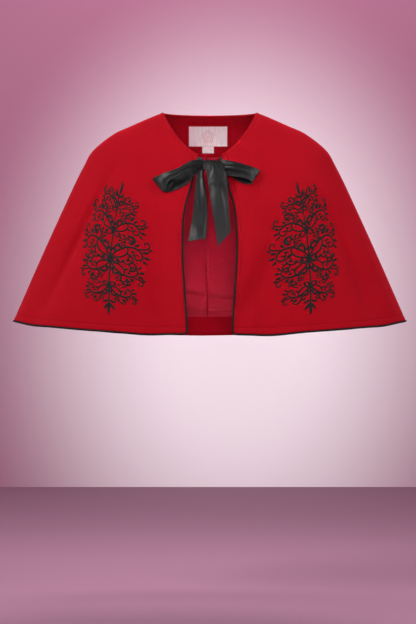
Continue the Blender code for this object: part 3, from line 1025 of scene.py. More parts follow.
@dataclass(frozen=True)
class StageFinish(Finish):
    """Plain studio paper, paler round one place from a painted pool of light, and seen from its front only, so a
    camera behind looks through.
    """

    specular: float = 0.1
    # colour is the paper's own colour away from the middle; pale is a painted pool of light round the middle, fading
    # out between near and far.
    colour: Colour = (0.165, 0.075, 0.115)
    pale: Colour = (0.37, 0.185, 0.27)
    middle: Colour = (0.0, 0.0, 0.0)
    near: float = 0.0
    far: float = 3.2
    rise: float = 1.0

    def dress(self, tree: Tree, shader: bpy.types.Node) -> None:
        """Fades from the pale painted pool of light at the middle to the plain colour with the distance, and lets
        the back face through.

        Args:
            tree: The material's tree.
            shader: Its shader.
        """
        offset = tree.vector("SUBTRACT", tree.place(), self.middle)
        away = tree.vector("LENGTH", tree.vector("MULTIPLY", offset, (1.0, 1.0, 1.0 / self.rise)))
        # Painted pool of light: pale at the middle, fading to the plain colour further away.
        self.show(tree, shader, tree.mix(tree.ramp(away, self.near, self.far, 0.0, 1.0), self.pale, self.colour))
        behind = tree.add("NewGeometry").outputs["Backfacing"]
        clear = tree.add("BsdfTransparent").outputs[0]
        blend = tree.add("MixShader", {0: behind, 1: shader.outputs[0], 2: clear}).outputs[0]
        tree.feed(blend, tree.tree.nodes["Material Output"].inputs["Surface"])


class Finishes:
    """Every finish of the cape, made once."""

    def __init__(self) -> None:
        """Makes the materials."""
        red = {"deep": (0.28, 0.002, 0.007), "light": (0.46, 0.006, 0.014), "sheen_tint": WoolFinish.sheen_tint}
        self.wool = WoolFinish("red wool", roughness=0.9, sheen=0.16, specular=0.08).make()
        # The inside wool is the outer wool in darker colours: painted shade for the shaded inside of the cape.
        inside = {"deep": (0.29, 0.0015, 0.0062), "light": (0.36, 0.0027, 0.0090)}
        self.shaded_wool_inside = WoolFinish("red wool inside painted shade", roughness=0.92, sheen=0.12, specular=0.06, **inside).make()
        self.wool_stitch = ThreadFinish("red thread", roughness=0.6, sheen=0.1, specular=0.2, **red).make()
        self.lining = SatinFinish(
            "red satin lining", roughness=0.40, sheen=0.3, sheen_tint=(0.9, 0.14, 0.22), specular=0.3, anisotropy=0.3
        ).make()
        self.cord = CordFinish("black corded piping", roughness=0.55, specular=0.14).make()
        self.embroidery = ThreadFinish("black embroidery thread", roughness=0.5, specular=0.2).make()
        self.ribbon = SatinFinish(
            "black satin ribbon",
            roughness=0.46,
            specular=0.52,
            anisotropy=0.30,
            deep=(0.0034, 0.0033, 0.0033),
            light=(0.0060, 0.0057, 0.0057),
            threads=1400.0,
            crumple=58.0,
            crumple_relief=0.0020,
            thread_relief=0.00002,
        ).make()
        self.label = LabelFinish("woven label", roughness=0.5).make()
        self.tag = LabelFinish("woven size tag", roughness=0.5, marked=False).make()


@dataclass
class Shell:
    """The outer wool: two fronts and a back, turned and topstitched along neck, front edges and hem."""

    form: CapeForm
    finishes: Finishes
    thickness: float = 0.0022
    inset: float = 0.0021
    corner: float = 0.006
    neck_line: float = 0.008
    front_line: float = 0.007
    hem_line: float = 0.0115
    groove: float = 0.0008
    groove_width: float = 0.0012
    puff: float = 0.35
    puff_place: float = 0.45
    puff_width: float = 0.4
    stitch: float = 0.0030
    stitch_gap: float = 0.0005
    stitch_width: float = 0.00055
    stitch_rise: float = 0.00030
    stitch_shape: Rows = (
        # along a stitch, as shares: place, width and rise
        (0.0, 0.12, 0.5, 0.88, 1.0),
        (0.3, 0.9, 1, 0.9, 0.3),
        (0.1, 0.8, 1, 0.8, 0.1),
    )
    stitch_sink: float = 0.9
    line_points: tuple[int, int, int] = (700, 1500, 500)
    facing_width: float = 0.048
    hem_width: float = 0.040
    facing_rise: float = 0.0007
    facing_blend: float = 0.002
    facing_start: float = 0.006
    front_flat: tuple[float, float] = (0.52, 0.50)
    front_area: float = 0.151
    back_flat: tuple[float, float] = (1.02, 0.58)
    back_area: float = 0.363
    rows: int = 66
    front_count: int = 62
    back_count: int = 150
    near: tuple[float, ...] = (0, 0.00012, 0.0004, 0.0009, 0.0016, 0.0028, 0.0042, 0.0054)
    neck_rows: tuple[float, ...] = (0.0064, 0.0072, 0.008, 0.0088, 0.0096, 0.011, 0.014, 0.018)
    front_columns: tuple[float, ...] = (0.0062, 0.007, 0.0078, 0.0086, 0.010, 0.013, 0.017)
    hem_rows: tuple[float, ...] = (0.0072, 0.0085, 0.0099, 0.0107, 0.0115, 0.0123, 0.0131, 0.015, 0.018)

    def panel(self, columns: Spacing, ends: Ends) -> dict[str, Array]:
        """Grid of a panel from the neck to the hem, with rows for the two lines of stitching."""
        rows = Spacing(self.near + self.neck_rows, self.near + self.hem_rows, self.rows)
        return self.form.band(0.0, 1.0, columns, rows, ends)

    def round_corner(self, grid: dict[str, Array]) -> None:
        """Rounds the hem's front corner by carrying a square of the grid onto a quarter disc.

        A point p from the square's inner corner moves to p times max(p) / |p|, so the square's outer sides
        become the arc.

        Args:
            grid: The front's grid, changed in place.
        """
        p = np.clip(self.corner - grid["before"], 0, None)
        q = np.clip(self.corner - grid["below"], 0, None)
        scale = np.maximum(p, q) / np.maximum(np.hypot(p, q), 1e-9)
        inside = (p > 0) & (q > 0)
        around, down = self.form.rates(grid["angle"], grid["share"])
        grid["angle"] += np.where(inside, p * (1 - scale) / around, 0)
        grid["share"] -= np.where(inside, q * (1 - scale) / down, 0)

    def pressed(self, grid: dict[str, Array], **lines: float) -> Array:
        """How far a panel's face is pressed in along its lines of stitching.

        Each line is a bell-shaped groove at its distance from an edge, and the strip between it and the edge
        puffs up a little.

        Args:
            grid: The panel's grid.
            lines: Distance of each line by the name of its edge.

        Returns:
            Depths in metres.
        """
        sunk = np.zeros(grid["angle"].shape)
        for edge, away in lines.items():
            sunk += self.groove * bell((grid[edge] - away) / self.groove_width)
            puffed = bell((grid[edge] - away * self.puff_place) / (away * self.puff_width))
            sunk -= self.puff * self.groove * puffed
        return sunk

    def inner_bands(self, grid: dict[str, Array]) -> Array:
        """How far the wool facing inside a front stands in over the lining.

        Args:
            grid: The front's grid.

        Returns:
            Heights in metres.
        """
        ends = ((self.facing_width, "before"), (self.hem_width, "below"))
        bands = [1 - smooth_step(w - self.facing_blend, w + self.facing_blend, grid[edge]) for w, edge in ends]
        away = smooth_step(0.0, self.facing_start, np.minimum(grid["before"], grid["below"]))
        return self.facing_rise * np.maximum(*bands) * away

    def front(self, side: Side) -> bpy.types.Object:
        """One front, from its corded edge to the shoulder and side seam.

        Args:
            side: Which front.

        Returns:
            The object.
        """
        form = self.form
        columns = Spacing(self.near + self.front_columns, self.near, self.front_count)
        grid = self.panel(columns, lambda at: (form.front_angle(at, self.inset), form.seam_angle(at, behind=False)))
        self.round_corner(grid)
        if side is Side.LEFT:
            grid = {name: values[:, ::-1] for name, values in grid.items()}
            grid["angle"] = -grid["angle"]
        sunk = self.pressed(grid, above=self.neck_line, before=self.front_line, below=self.hem_line)
        name = "front_" + side.name.lower()
        piece = form.band_piece(name + "_cloth", grid, sunk, self.thickness, self.inner_bands(grid))
        self.line_inside(piece, (grid["before"] < self.facing_width) | (grid["below"] < self.hem_width))
        hand_over(piece, Slot.WOOL, self.finishes.wool, name)
        return piece

    def line_inside(self, piece: bpy.types.Object, shaded_wool_inside: Array) -> None:
        """Gives a front's inner faces their lining, with the darker inside wool along the turned edges, whose colour
        is painted shade.

        Args:
            piece: The front.
            shaded_wool_inside: Which grid points have wool inside.
        """
        for finish in (self.finishes.wool, self.finishes.shaded_wool_inside, self.finishes.lining):
            piece.data.materials.append(finish)
        corner = shaded_wool_inside[:-1, :-1] & shaded_wool_inside[1:, :-1] & shaded_wool_inside[1:, 1:] & shaded_wool_inside[:-1, 1:]
        inner = np.where(corner.ravel(), 1, 2)
        chosen = np.concatenate([np.zeros(inner.size, int), inner]).astype(np.int32)
        piece.data.polygons.foreach_set("material_index", chosen)

    def back(self) -> bpy.types.Object:
        """The back, from one shoulder and side seam round to the other."""
        grid = self.panel(Spacing(self.near, self.near, self.back_count), self.form.back_ends)
        sunk = self.pressed(grid, above=self.neck_line, below=self.hem_line)
        piece = self.form.band_piece("back_cloth", grid, sunk, self.thickness)
        hand_over(piece, Slot.WOOL, self.finishes.wool, "back_panel")
        return piece

    def stitch_lines(self) -> list[tuple[Array, Array]]:
        """The lines of topstitching: round the neck, round the hem and down both front edges.

        Returns:
            Angles and shares along each line.
        """
        form = self.form
        lines = []
        neck_points, hem_points, edge_points = self.line_points
        for share, away, count in ((0.0, self.neck_line, neck_points), (1.0, -self.hem_line, hem_points)):
            edge, level = form.front_angle(np.array([share]), self.inset), np.full(count, share)
            start = edge[0] + self.front_line / form.rates(edge, level[:1])[0][0]
            angle = np.linspace(start, 2 * math.pi - start, count)
            lines.append((angle, share + away / form.rates(angle, level)[1]))
        down = np.linspace(lines[0][1][0], lines[1][1][0], edge_points)
        edge = form.front_angle(down, self.inset)
        edge = edge + self.front_line / form.rates(edge, down)[0]
        return [*lines, (edge, down), (-edge, down)]

    def stitches(self) -> bpy.types.Object:
        """Every topstitch of the shell: short raised threads in the grooves, evenly spaced along each line."""
        places, widths, rises = np.array(self.stitch_shape)
        centres, ups = [], []
        for line in self.stitch_lines():
            length = travel(self.form.skin(*line))
            count = int(length[-1] / (self.stitch + self.stitch_gap))
            begin = (np.arange(count) + 0.1) * length[-1] / count
            at = begin[:, None] + self.stitch * places
            on_line = (np.interp(at, length, values) for values in line)
            centre, up = self.form.layer(*on_line, self.groove * self.stitch_sink)
            centres.append(centre)
            ups.append(up)
        centre, up = np.concatenate(centres), np.concatenate(ups)
        width = np.broadcast_to(self.stitch_width * widths, centre.shape[:2])
        rise = np.broadcast_to(self.stitch_rise * rises, centre.shape[:2])
        piece = thread_piece("topstitching", centre, up, width, rise)
        hand_over(piece, Slot.WOOL, self.finishes.wool_stitch)
        return piece

    def build(self, trims: dict[Side, bpy.types.Object]) -> None:
        """Builds the shell.

        Args:
            trims: The embroidery of each front. Not used.
        """
        stitches = self.stitches()
        for side in Side:
            piece = self.front(side)
        piece = self.back()


@dataclass
class BackInside:
    """What lines the back: a wool band at the neck and hem, a seamed satin lining, a label and a size tag."""

    form: CapeForm
    finishes: Finishes
    shell: float = 0.0022
    layer_gap: float = 0.0003
    facing: float = 0.0015
    lining: float = 0.0010
    lining_lift: float = 0.0001
    label: float = 0.0008
    label_gap: float = 0.0005
    facing_end: float = 0.198
    hem_start: float = 0.922
    hem_end: float = 1.0072
    seam_gap: float = 0.0006
    seam_x: float = -0.006
    seam_press: float = 0.0018
    seam_half_gap: float = 0.0001
    under_line: float = 0.006
    under_press: float = 0.0004
    under_width: float = 0.0010
    under_rows: tuple[float, ...] = (0.0045, 0.0052, 0.006, 0.0068, 0.0076, 0.010)
    seam_columns: tuple[float, ...] = (0.0019, 0.0027, 0.0045)
    edge_fade: float = 0.012
    seam_fade: float = 0.0060
    seam_rise: float = 0.0030
    neck_grid: tuple[int, int] = (120, 24)
    hem_grid: tuple[int, int] = (150, 12)
    lining_grid: tuple[int, int] = (90, 110)
    label_grid: tuple[int, int] = (30, 16)
    wrinkles: Rows = (
        # in mm: x and z at one end, x and z at the other, half width above and below the line, depth
        (-62, -372, -17.2, -384, 6.2, 12, 4.6),
        (-17.2, -384, -4, -380.5, 6, 11, 4.4),
        (-4, -380.5, 12.2, -387.5, 6.2, 13, 5),
        (12.2, -387.5, 62, -395, 7, 15, 6.2),
        (-62, -399, -27.7, -420.5, 4.8, 6.5, 3.6),
        (-27.7, -420.5, 11.7, -415.5, 4.6, 7, 3.2),
        (11.7, -415.5, 62, -422, 4.8, 6.5, 3.8),
        (-45, -300, -36, -345, 8, 8, 1.2),
        (16, -310, 22, -365, 12, 12, 1.4),
        (52, -290, 46, -350, 10, 10, 1.2),
        (-22, -270, -20, -360, 6, 6, 0.8),
        (-110, -270, -125, -380, 12, 12, 1.6),
        (112, -250, 120, -375, 13, 13, 1.7),
        (-200, -240, -225, -360, 13, 13, 1.6),
        (210, -230, 215, -370, 12, 12, 1.5),
        (-160, -385, -100, -398, 6, 6, 1.8),
        (95, -395, 170, -380, 6, 6, 1.8),
    )
    label_size: tuple[float, float] = (0.083, 0.041)
    tag_size: tuple[float, float] = (0.025, 0.0141)
    label_x: float = -0.0035
    label_top: float = -0.020
    tag_top: float = -0.0614
    rim: tuple[float, ...] = (0, 0.0001, 0.0003, 0.0007, 0.0014, 0.003)

    def seam_place(self, shares: Array) -> Array:
        """Angle of the lining's own seam, which hangs at one x."""
        half = along(self.form.side, shares)[..., 0]
        return math.pi + np.arcsin((-self.seam_x / half) ** (self.form.squareness(shares) / 2))

    def neck_band(self) -> bpy.types.Object:
        """The wool facing inside the neck, with a line of understitching pressed into its inner face."""
        rim, (across, down) = self.rim, self.neck_grid
        columns, rows = Spacing(rim, rim, across), Spacing(rim + self.under_rows, rim, down)
        grid = self.form.band(0.0, self.facing_end - self.seam_gap, columns, rows, self.form.back_ends)
        line = -self.under_press * bell((grid["above"] - self.under_line) / self.under_width)
        piece = self.form.band_piece("neck_facing_cloth", grid, self.shell + self.layer_gap, self.facing, line)
        # The facing takes the darker inside wool, whose colour is painted shade.
        hand_over(piece, Slot.WOOL, self.finishes.shaded_wool_inside, "neck_facing")
        return piece

    def hem_band(self) -> bpy.types.Object:
        """The wool facing inside the hem, which hangs past the shell and hides the cord from inside."""
        columns, rows = (Spacing(self.rim, self.rim, count) for count in self.hem_grid)
        grid = self.form.band(self.hem_start, self.hem_end, columns, rows, self.form.back_ends)
        piece = self.form.band_piece("hem_facing_cloth", grid, self.shell + self.layer_gap, self.facing)
        # The facing takes the darker inside wool, whose colour is painted shade.
        hand_over(piece, Slot.WOOL, self.finishes.shaded_wool_inside, "hem_facing")
        return piece

    def wrinkle_depth(self, place: Array) -> Array:
        """How far the lining stands off the shell: the most of bells across straight lines of the front view.

        Args:
            place: Points of the shell behind the lining.

        Returns:
            Depths in metres.
        """
        depth = np.zeros(place.shape[:-1])
        for start, top, end, low, above, below, most in np.array(self.wrinkles) / 1000:
            _, off, past = beside(place[..., 0] - start, place[..., 2] - top, end - start, low - top)
            wide = np.where(off > 0, below, above)
            depth = np.maximum(depth, most * bell(off / wide) * bell(past / (1.5 * above)))
        return depth

    def lining_half(self, side: Side) -> bpy.types.Object:
        """One half of the back's lining, pressed in along its middle seam.

        Args:
            side: Which half, as seen from the front.

        Returns:
            The object.
        """
        rim = self.rim

        def ends(shares: Array) -> tuple[Array, Array]:
            """The side seam and the lining's seam, or the other way round.

            Args:
                shares: Shares of the way down.

            Returns:
                First and last angles.
            """
            first, last = self.form.back_ends(shares)
            seam = self.seam_place(shares)
            gap = self.seam_half_gap / along(self.form.side, shares)[..., 0]
            return (first, seam - gap) if side is Side.RIGHT else (seam + gap, last)

        top, low = self.facing_end + self.seam_gap, self.hem_start - self.seam_gap
        near, (across, down) = rim + self.seam_columns, self.lining_grid
        grid = self.form.band(top, low, Spacing(near, near, across), Spacing(rim, rim, down), ends)
        seam = grid["after"] if side is Side.RIGHT else grid["before"]
        wrinkles = self.wrinkle_depth(self.form.skin(grid["angle"], grid["share"]))
        loose = smooth_step(0.0, self.edge_fade, np.minimum(grid["above"], grid["below"]))
        loose = loose * smooth_step(0.0, self.seam_fade, seam)
        depth = self.shell + self.layer_gap - self.lining_lift + wrinkles * loose
        depth = depth + self.seam_press * smooth_step(0.0, self.seam_rise, seam)
        name = "lining_" + side.name.lower()
        piece = self.form.band_piece(name + "_cloth", grid, depth, self.lining)
        hand_over(piece, Slot.LINING, self.finishes.lining, name)
        return piece

    def flat_patch(
        self, name: str, size: tuple[float, float], top: float, droop: float, finish: bpy.types.Material
    ) -> bpy.types.Object:
        """A woven label laid on the neck facing.

        At y down its height h and x across its width w it stands off by
        droop * (y / h)^2 * (0.8 + 0.2 cos(3 pi x / w)).

        Args:
            name: Name of the solid that it stands for.
            size: Width and height.
            top: Height of its upper edge.
            droop: How far its lower edge stands off.
            finish: Its material.

        Returns:
            The object.
        """
        width, height = size
        wide, tall = (Spacing(self.rim[:5], self.rim[:5], count) for count in self.label_grid)
        across, before, after = wide.lay(0.0, width, 1.0, 1.0)
        down, above, below = (part[:, None] for part in tall.lay(0.0, height, 1.0, 1.0))
        angle, share = self.form.locate(self.label_x + width / 2 - across, top - down, behind=True)
        edge = np.minimum(np.minimum(before, after), np.minimum(above, below))
        base = self.shell + self.layer_gap + self.facing + self.label_gap
        lift = droop * (down / height) ** 2 * (0.8 + 0.2 * np.cos(math.pi * across / width * 3))
        points, normals = self.form.layer(angle, share, base + lift)
        uv = np.stack(np.broadcast_arrays(width / 2 - across, height / 2 - down), axis=-1)
        piece = closed_sheet(name + "_cloth", points, normals, self.label, edge, uv)
        hand_over(piece, Slot.LABEL, finish, name)
        return piece

    def build(self) -> None:
        """Builds every layer."""
        neck = self.neck_band()
        self.hem_band()
        for side, area in ((Side.LEFT, 0.139), (Side.RIGHT, 0.143)):
            self.lining_half(side)
        for name, size, top, droop, finish in (
            ("label", self.label_size, self.label_top, 0.0006, self.finishes.label),
            ("size_tag", self.tag_size, self.tag_top, 0.0008, self.finishes.tag),
        ):
            patch = self.flat_patch(name, size, top, droop, finish)


@dataclass
class Piping:
    """The black cord let into the front edges and the hem."""

    form: CapeForm
    finishes: Finishes
    radius: float = 0.0019
    gap: float = 0.0002
    inset: float = 0.0003
    corner: float = 0.006
    top_share: float = 0.047
    sides: int = 12
    end_shrink: tuple[float, float] = (0.25, 0.85)
    start_angle: float = 0.1
    steps: tuple[int, int, int] = (260, 13, 560)

    def path(self) -> tuple[Array, Array]:
        """The cord's route: down the left front edge, round the hem and up the right front edge.

        Returns:
            Points of the cord's middle and the outward normals there.
        """
        form = self.form
        centre_gap = self.radius + self.gap
        edge_steps, corner_steps, hem_steps = self.steps
        low = 1 - self.corner / float(form.rates(self.start_angle, 1.0)[1])
        edge_share = np.linspace(self.top_share, low, edge_steps)
        edge_angle = form.front_angle(edge_share, 0.0)
        corner_angle = float(form.front_angle(np.array(low), centre_gap))
        around_rate, down_rate = form.rates(corner_angle, low)
        swing = np.linspace(0, math.pi / 2, corner_steps)[1:-1]
        reach = self.corner + centre_gap
        middle = corner_angle + self.corner / around_rate
        turn_angle = middle - reach / around_rate * np.cos(swing)
        turn_share = low + reach / down_rate * np.sin(swing)
        hem_angle = np.linspace(middle, math.pi, hem_steps)
        hem_share = 1 + centre_gap / form.rates(hem_angle, np.ones(hem_steps))[1]
        half_angle = np.concatenate([edge_angle, turn_angle, hem_angle])
        half_share = np.concatenate([edge_share, turn_share, hem_share])
        angle = np.concatenate([-half_angle, half_angle[-2::-1]])
        share = np.concatenate([half_share, half_share[-2::-1]])
        return form.skin(angle, share), form.outward(form.skin, angle, share)

    def build(self) -> None:
        """Carries a round section along the path, with shrinking rings that close its two ends."""
        middle, normal = self.path()
        middle = middle - self.inset * normal
        heading = unit(np.gradient(middle, axis=0))
        across = unit(np.cross(heading, normal))
        upright = np.cross(across, heading)
        turn = np.arange(self.sides) * 2 * math.pi / self.sides
        size = np.full(len(middle), self.radius)
        size[[0, -1]] *= self.end_shrink[0]
        size[[1, -2]] *= self.end_shrink[1]
        section = np.cos(turn)[None, :, None] * across[:, None] + np.sin(turn)[None, :, None] * upright[:, None]
        rings = middle[:, None] + size[:, None, None] * section
        piece = ringed_piece("piping_cord", rings[None], travel(middle)[None], 2 * math.pi * self.radius)
        hand_over(piece, Slot.PIPING, self.finishes.cord, "piping")


@dataclass
class RibbonStrip:
    """A stretch of ribbon through rows of its two edges, each standing off the front by its own lift."""

    name: str
    rows: Rows
    stations: int
    flat: tuple[float, float] | None = None
    pleats: Rows = ()
    columns: int = 26
    thickness: float = 0.0007
    rim: tuple[float, ...] = (0, 0.0001, 0.0003, 0.0006, 0.0012)

    def pleat_height(self, run: Array, across: Array) -> Array:
        """How far creases push the ribbon along its normal.

        Each is a bell across a line from its start to its end, times sin(pi (0.08 + 0.84 t)) at t along it, and
        past its ends times a bell 0.05 of the ribbon's length wide.

        Args:
            run: Share of the way along the ribbon.
            across: Share of the way across it.

        Returns:
            Heights in metres.
        """
        height = np.zeros(np.broadcast(run, across).shape)
        for first, last, start, end, wide, most in self.pleats:
            t = np.clip((run - first) / (last - first), 0, 1)
            past = np.maximum(np.abs(run - (first + last) / 2) - (last - first) / 2, 0)
            fade = np.sin(math.pi * (0.08 + 0.84 * t)) * bell(past / 0.05)
            height += most * fade * bell((across - start - (end - start) * t) / wide)
        return height

    def build(self, form: CapeForm, finishes: Finishes) -> bpy.types.Object:
        """Builds the strip.

        Args:
            form: The cape's form, which the lifts are measured from.
            finishes: The cape's finishes.

        Returns:
            The object.
        """
        line = smooth_line(np.array(self.rows) / 1000)
        length = travel(line)
        lengthwise = Spacing(self.rim, self.rim, self.stations).lay(0.0, length[-1], 1.0, 1.0)
        at, before, after = (part[:, None] for part in lengthwise)
        line = np.stack([np.interp(at, length, column) for column in line.T], axis=-1)
        width = float(np.linalg.norm(line[..., :3] - line[..., 3:], axis=-1).mean())
        across, left, right = Spacing(self.rim, self.rim, self.columns).lay(0.0, width, 1.0, 1.0)
        share = (across / width)[:, None]
        x, z, lift = np.moveaxis(line[..., :3] * (1 - share) + line[..., 3:] * share, -1, 0)
        points = np.stack([x, form.front_depth(x, z) - lift, z], axis=-1)
        raised = self.pleat_height(at / length[-1], across / width)[..., None]
        points = points + raised * self.upright(points)
        normal = self.upright(points)
        edge = np.minimum(np.minimum(left, right), np.minimum(before, after))
        uv = np.stack(np.broadcast_arrays(across, at), axis=-1)
        face = points + self.thickness / 2 * normal
        piece = closed_sheet(self.name + "_ribbon", face, normal, self.thickness, edge, uv)
        hand_over(piece, Slot.RIBBON, finishes.ribbon, self.name)
        return piece

    @staticmethod
    def upright(points: Array) -> Array:
        """Unit normals of a grid of points: its steps along and across, crossed."""
        return unit(np.cross(np.gradient(points, axis=0), np.gradient(points, axis=1)))


@dataclass
class Bow:
    """The black satin ribbon tied at the neck: two short ties, a knot, two loops and two tails."""

    form: CapeForm
    finishes: Finishes
    knot_place: tuple[float, float, float] = (0.0037, -0.1185, 0.0085)
    knot_half: tuple[float, float, float] = (0.0196, 0.0074, 0.0112)
    knot_squareness: float = 3.4
    knot_grid: tuple[int, int] = (60, 72)
    knot_tip: float = 0.06
    knot_girth: float = 0.06
    knot_folds: Rows = (
        # slope across the knot, place, width, depth
        (0.55, -0.55, 0.10, 0.0014),
        (0.50, -0.15, 0.12, 0.0013),
        (0.60, 0.30, 0.10, 0.0014),
        (-0.60, -0.75, 0.12, 0.0012),
        (0.45, 0.70, 0.10, 0.0010),
    )
    strips: tuple[RibbonStrip, ...] = (
        # rows in mm: upper x, upper z, upper lift, lower x, lower z, lower lift
        # pleats: share along at its start and end, share across at its start and end, half width, height in m
        RibbonStrip(
            "tie_left",
            rows=(
                (-24.7, -98.5, -1.1, -26.8, -106, -1.1),
                (-15, -104, 1.2, -19, -110.8, 1),
                (-6.4, -109.8, 4, -12, -115, 3.7),
            ),
            stations=36,
            pleats=((0.0, 1.0, 0.35, 0.45, 0.10, 0.0007), (0.0, 1.0, 0.75, 0.65, 0.10, -0.0006)),
        ),
        RibbonStrip(
            "tie_right",
            rows=(
                (24.7, -98.5, -1.1, 26.8, -106, -1.1),
                (19.5, -104, 1.2, 23, -110.8, 1),
                (13.8, -109.8, 4, 19.4, -115, 3.7),
            ),
            stations=32,
            pleats=((0.0, 1.0, 0.40, 0.50, 0.10, 0.0007), (0.0, 1.0, 0.75, 0.70, 0.10, -0.0006)),
        ),
        RibbonStrip(
            "loop_left",
            rows=(
                (-17.8, -110.8, 5.5, -16, -129, 5.5),
                (-34.7, -116, 2.8, -31.6, -140.6, 2.6),
                (-52.2, -123.5, 1.8, -46.2, -158, 1.8),
                (-69.7, -131.1, 1.6, -63.6, -168, 2),
                (-93.1, -138.9, 2, -83.7, -174.3, 1.8),
                (-117.4, -146.7, 7, -96.8, -173, 5.6),
                (-101.5, -138.7, 15, -89.4, -169.4, 9),
                (-87.6, -133.5, 19, -84, -153, 17),
                (-66.5, -126.1, 21, -67.5, -142.5, 20.5),
                (-49.1, -115.8, 20.5, -48.3, -133, 20.5),
                (-34.6, -108.5, 17.2, -32.3, -126.5, 16.5),
                (-14, -107.9, 12.8, -13, -122.5, 12.8),
            ),
            stations=170,
            flat=(0.038, 0.200),
            pleats=(
                (0.55, 0.94, 0.40, 0.46, 0.30, -0.0026),
                (0.72, 1.04, 0.18, 0.34, 0.11, 0.0022),
                (0.78, 1.04, 0.52, 0.58, 0.09, -0.0024),
                (0.84, 1.04, 0.80, 0.84, 0.08, 0.0020),
                (0.88, 1.04, 0.05, 0.12, 0.06, -0.0014),
                (0.16, 0.24, 0.60, 0.95, 0.16, 0.0014),
                (0.505, 0.535, -0.1, 1.1, 0.9, -0.0006),
                (0.30, 0.38, 0.55, 0.95, 0.16, -0.0014),
                (-0.04, 0.16, 0.70, 0.86, 0.12, 0.0018),
            ),
        ),
        RibbonStrip(
            "loop_right",
            rows=(
                (21.8, -111.8, 6.2, 22.4, -129, 6.2),
                (45.9, -115.2, 2.6, 47.2, -144.5, 2.6),
                (62, -119, 1.8, 58.9, -152.5, 1.8),
                (78.1, -122.3, 2, 71.2, -156.7, 1.8),
                (102.8, -129.6, 8.5, 83.8, -158.4, 5.6),
                (91.7, -123.8, 15, 82.8, -151.5, 10),
                (67.6, -116.5, 18.5, 67.7, -145.3, 15),
                (50.1, -111.6, 19, 50.7, -143.3, 15.8),
                (35.6, -108.5, 16.8, 36.9, -140.9, 14.8),
                (20.5, -108.8, 12.2, 21.5, -134.5, 11.8),
            ),
            stations=150,
            flat=(0.038, 0.150),
            pleats=(
                (0.54, 0.96, 0.42, 0.46, 0.34, 0.0034),
                (0.70, 1.02, 0.76, 0.70, 0.09, -0.0018),
                (0.66, 0.98, 0.42, 0.50, 0.13, 0.0014),
                (0.80, 1.04, 0.22, 0.34, 0.07, -0.0016),
                (0.84, 1.04, 0.90, 0.86, 0.06, 0.0014),
                (0.10, 0.34, 0.82, 0.92, 0.12, -0.0012),
            ),
        ),
        RibbonStrip(
            "tail_left",
            rows=(
                (-25, -122, 9.2, -8, -121.5, 9.2),
                (-26.5, -139.1, 8.2, -12.4, -136.9, 7.2),
                (-29.4, -164.4, 7.4, -8.8, -162.4, 4.8),
                (-31.8, -191.2, 7, -5.1, -189.9, 3.6),
                (-34.3, -220.8, 6.2, -4.5, -221, 3.2),
                (-37.9, -244.3, 4.4, -5.6, -244.5, 6),
                (-43.6, -276.8, 6.6, -7.3, -270.8, 12),
            ),
            stations=110,
            flat=(0.038, 0.150),
            pleats=(
                (0.00, 0.45, 0.72, 0.84, 0.16, 0.0014),
                (0.10, 0.80, 0.34, 0.46, 0.24, -0.0016),
                (0.72, 1.00, 0.34, 0.44, 0.30, 0.0014),
                (0.18, 0.98, 0.92, 0.94, 0.05, 0.0008),
            ),
        ),
        RibbonStrip(
            "tail_right",
            rows=(
                (-12.5, -109.2, 14, 20, -108.6, 14),
                (-12.8, -109.6, 17, 22.8, -109.6, 17.4),
                (-11.2, -115.2, 18.2, 27, -117.2, 20),
                (-7.5, -127.9, 17.2, 32.2, -131.6, 20.4),
                (-4.6, -147.1, 15, 35.4, -147, 18.4),
                (-0.7, -172.2, 12, 36.2, -173.5, 14.6),
                (4.1, -206.3, 9.4, 38.7, -206.2, 10.4),
                (9.8, -243.1, 8.6, 41.2, -240, 6.6),
                (16.3, -287.1, 8, 42.9, -256.4, 5),
            ),
            stations=150,
            flat=(0.038, 0.200),
            pleats=(
                (0.08, 0.72, 0.36, 0.40, 0.30, 0.0034),
                (0.40, 0.98, 0.88, 0.84, 0.10, -0.0016),
                (0.30, 0.62, 0.60, 0.66, 0.12, 0.0012),
                (0.55, 1.00, 0.40, 0.55, 0.18, -0.0012),
            ),
        ),
    )

    def knot(self) -> bpy.types.Object:
        """The knot: a squared-off ball with slanting folds pressed into it.

        A point of a unit ball is grown by (|end|^n + |round|^n)^(-1/n), and each fold is a trough along a line
        that slopes across the knot's face.

        Returns:
            The object.
        """
        rings, sides = self.knot_grid
        polar = np.linspace(self.knot_tip, math.pi - self.knot_tip, rings)[:, None]
        turn = np.linspace(0, 2 * math.pi, sides, endpoint=False)[None, :]
        end = np.broadcast_to(np.cos(polar), (rings, sides))
        tall, deep = np.sin(polar) * np.cos(turn), np.sin(polar) * np.sin(turn)
        n = self.knot_squareness
        grown = (np.abs(end) ** n + np.hypot(deep, tall) ** n) ** (1 / n)
        sunk = np.zeros(end.shape)
        for slope, place, wide, depth in self.knot_folds:
            sunk += depth * bell((tall - slope * end - place) / wide) * np.sqrt(np.clip(1 - end**2, 0, 1))
        shrink = 1 - sunk / self.knot_half[1]
        x = self.knot_place[0] + self.knot_half[0] * end / grown
        z = self.knot_place[1] + self.knot_half[2] * tall / grown * shrink
        y = self.form.front_depth(x, z) - self.knot_place[2] + self.knot_half[1] * deep / grown * shrink
        points = np.stack([x, y, z], axis=-1)
        run = np.linspace(0, 2 * self.knot_half[0], rings)
        piece = ringed_piece("knot_ribbon", points[None], run[None], self.knot_girth)
        hand_over(piece, Slot.RIBBON, self.finishes.ribbon, "knot")
        return piece

    def build(self) -> None:
        """Builds the bow."""
        knot = self.knot()
        made = {strip.name: strip.build(self.form, self.finishes) for strip in self.strips}


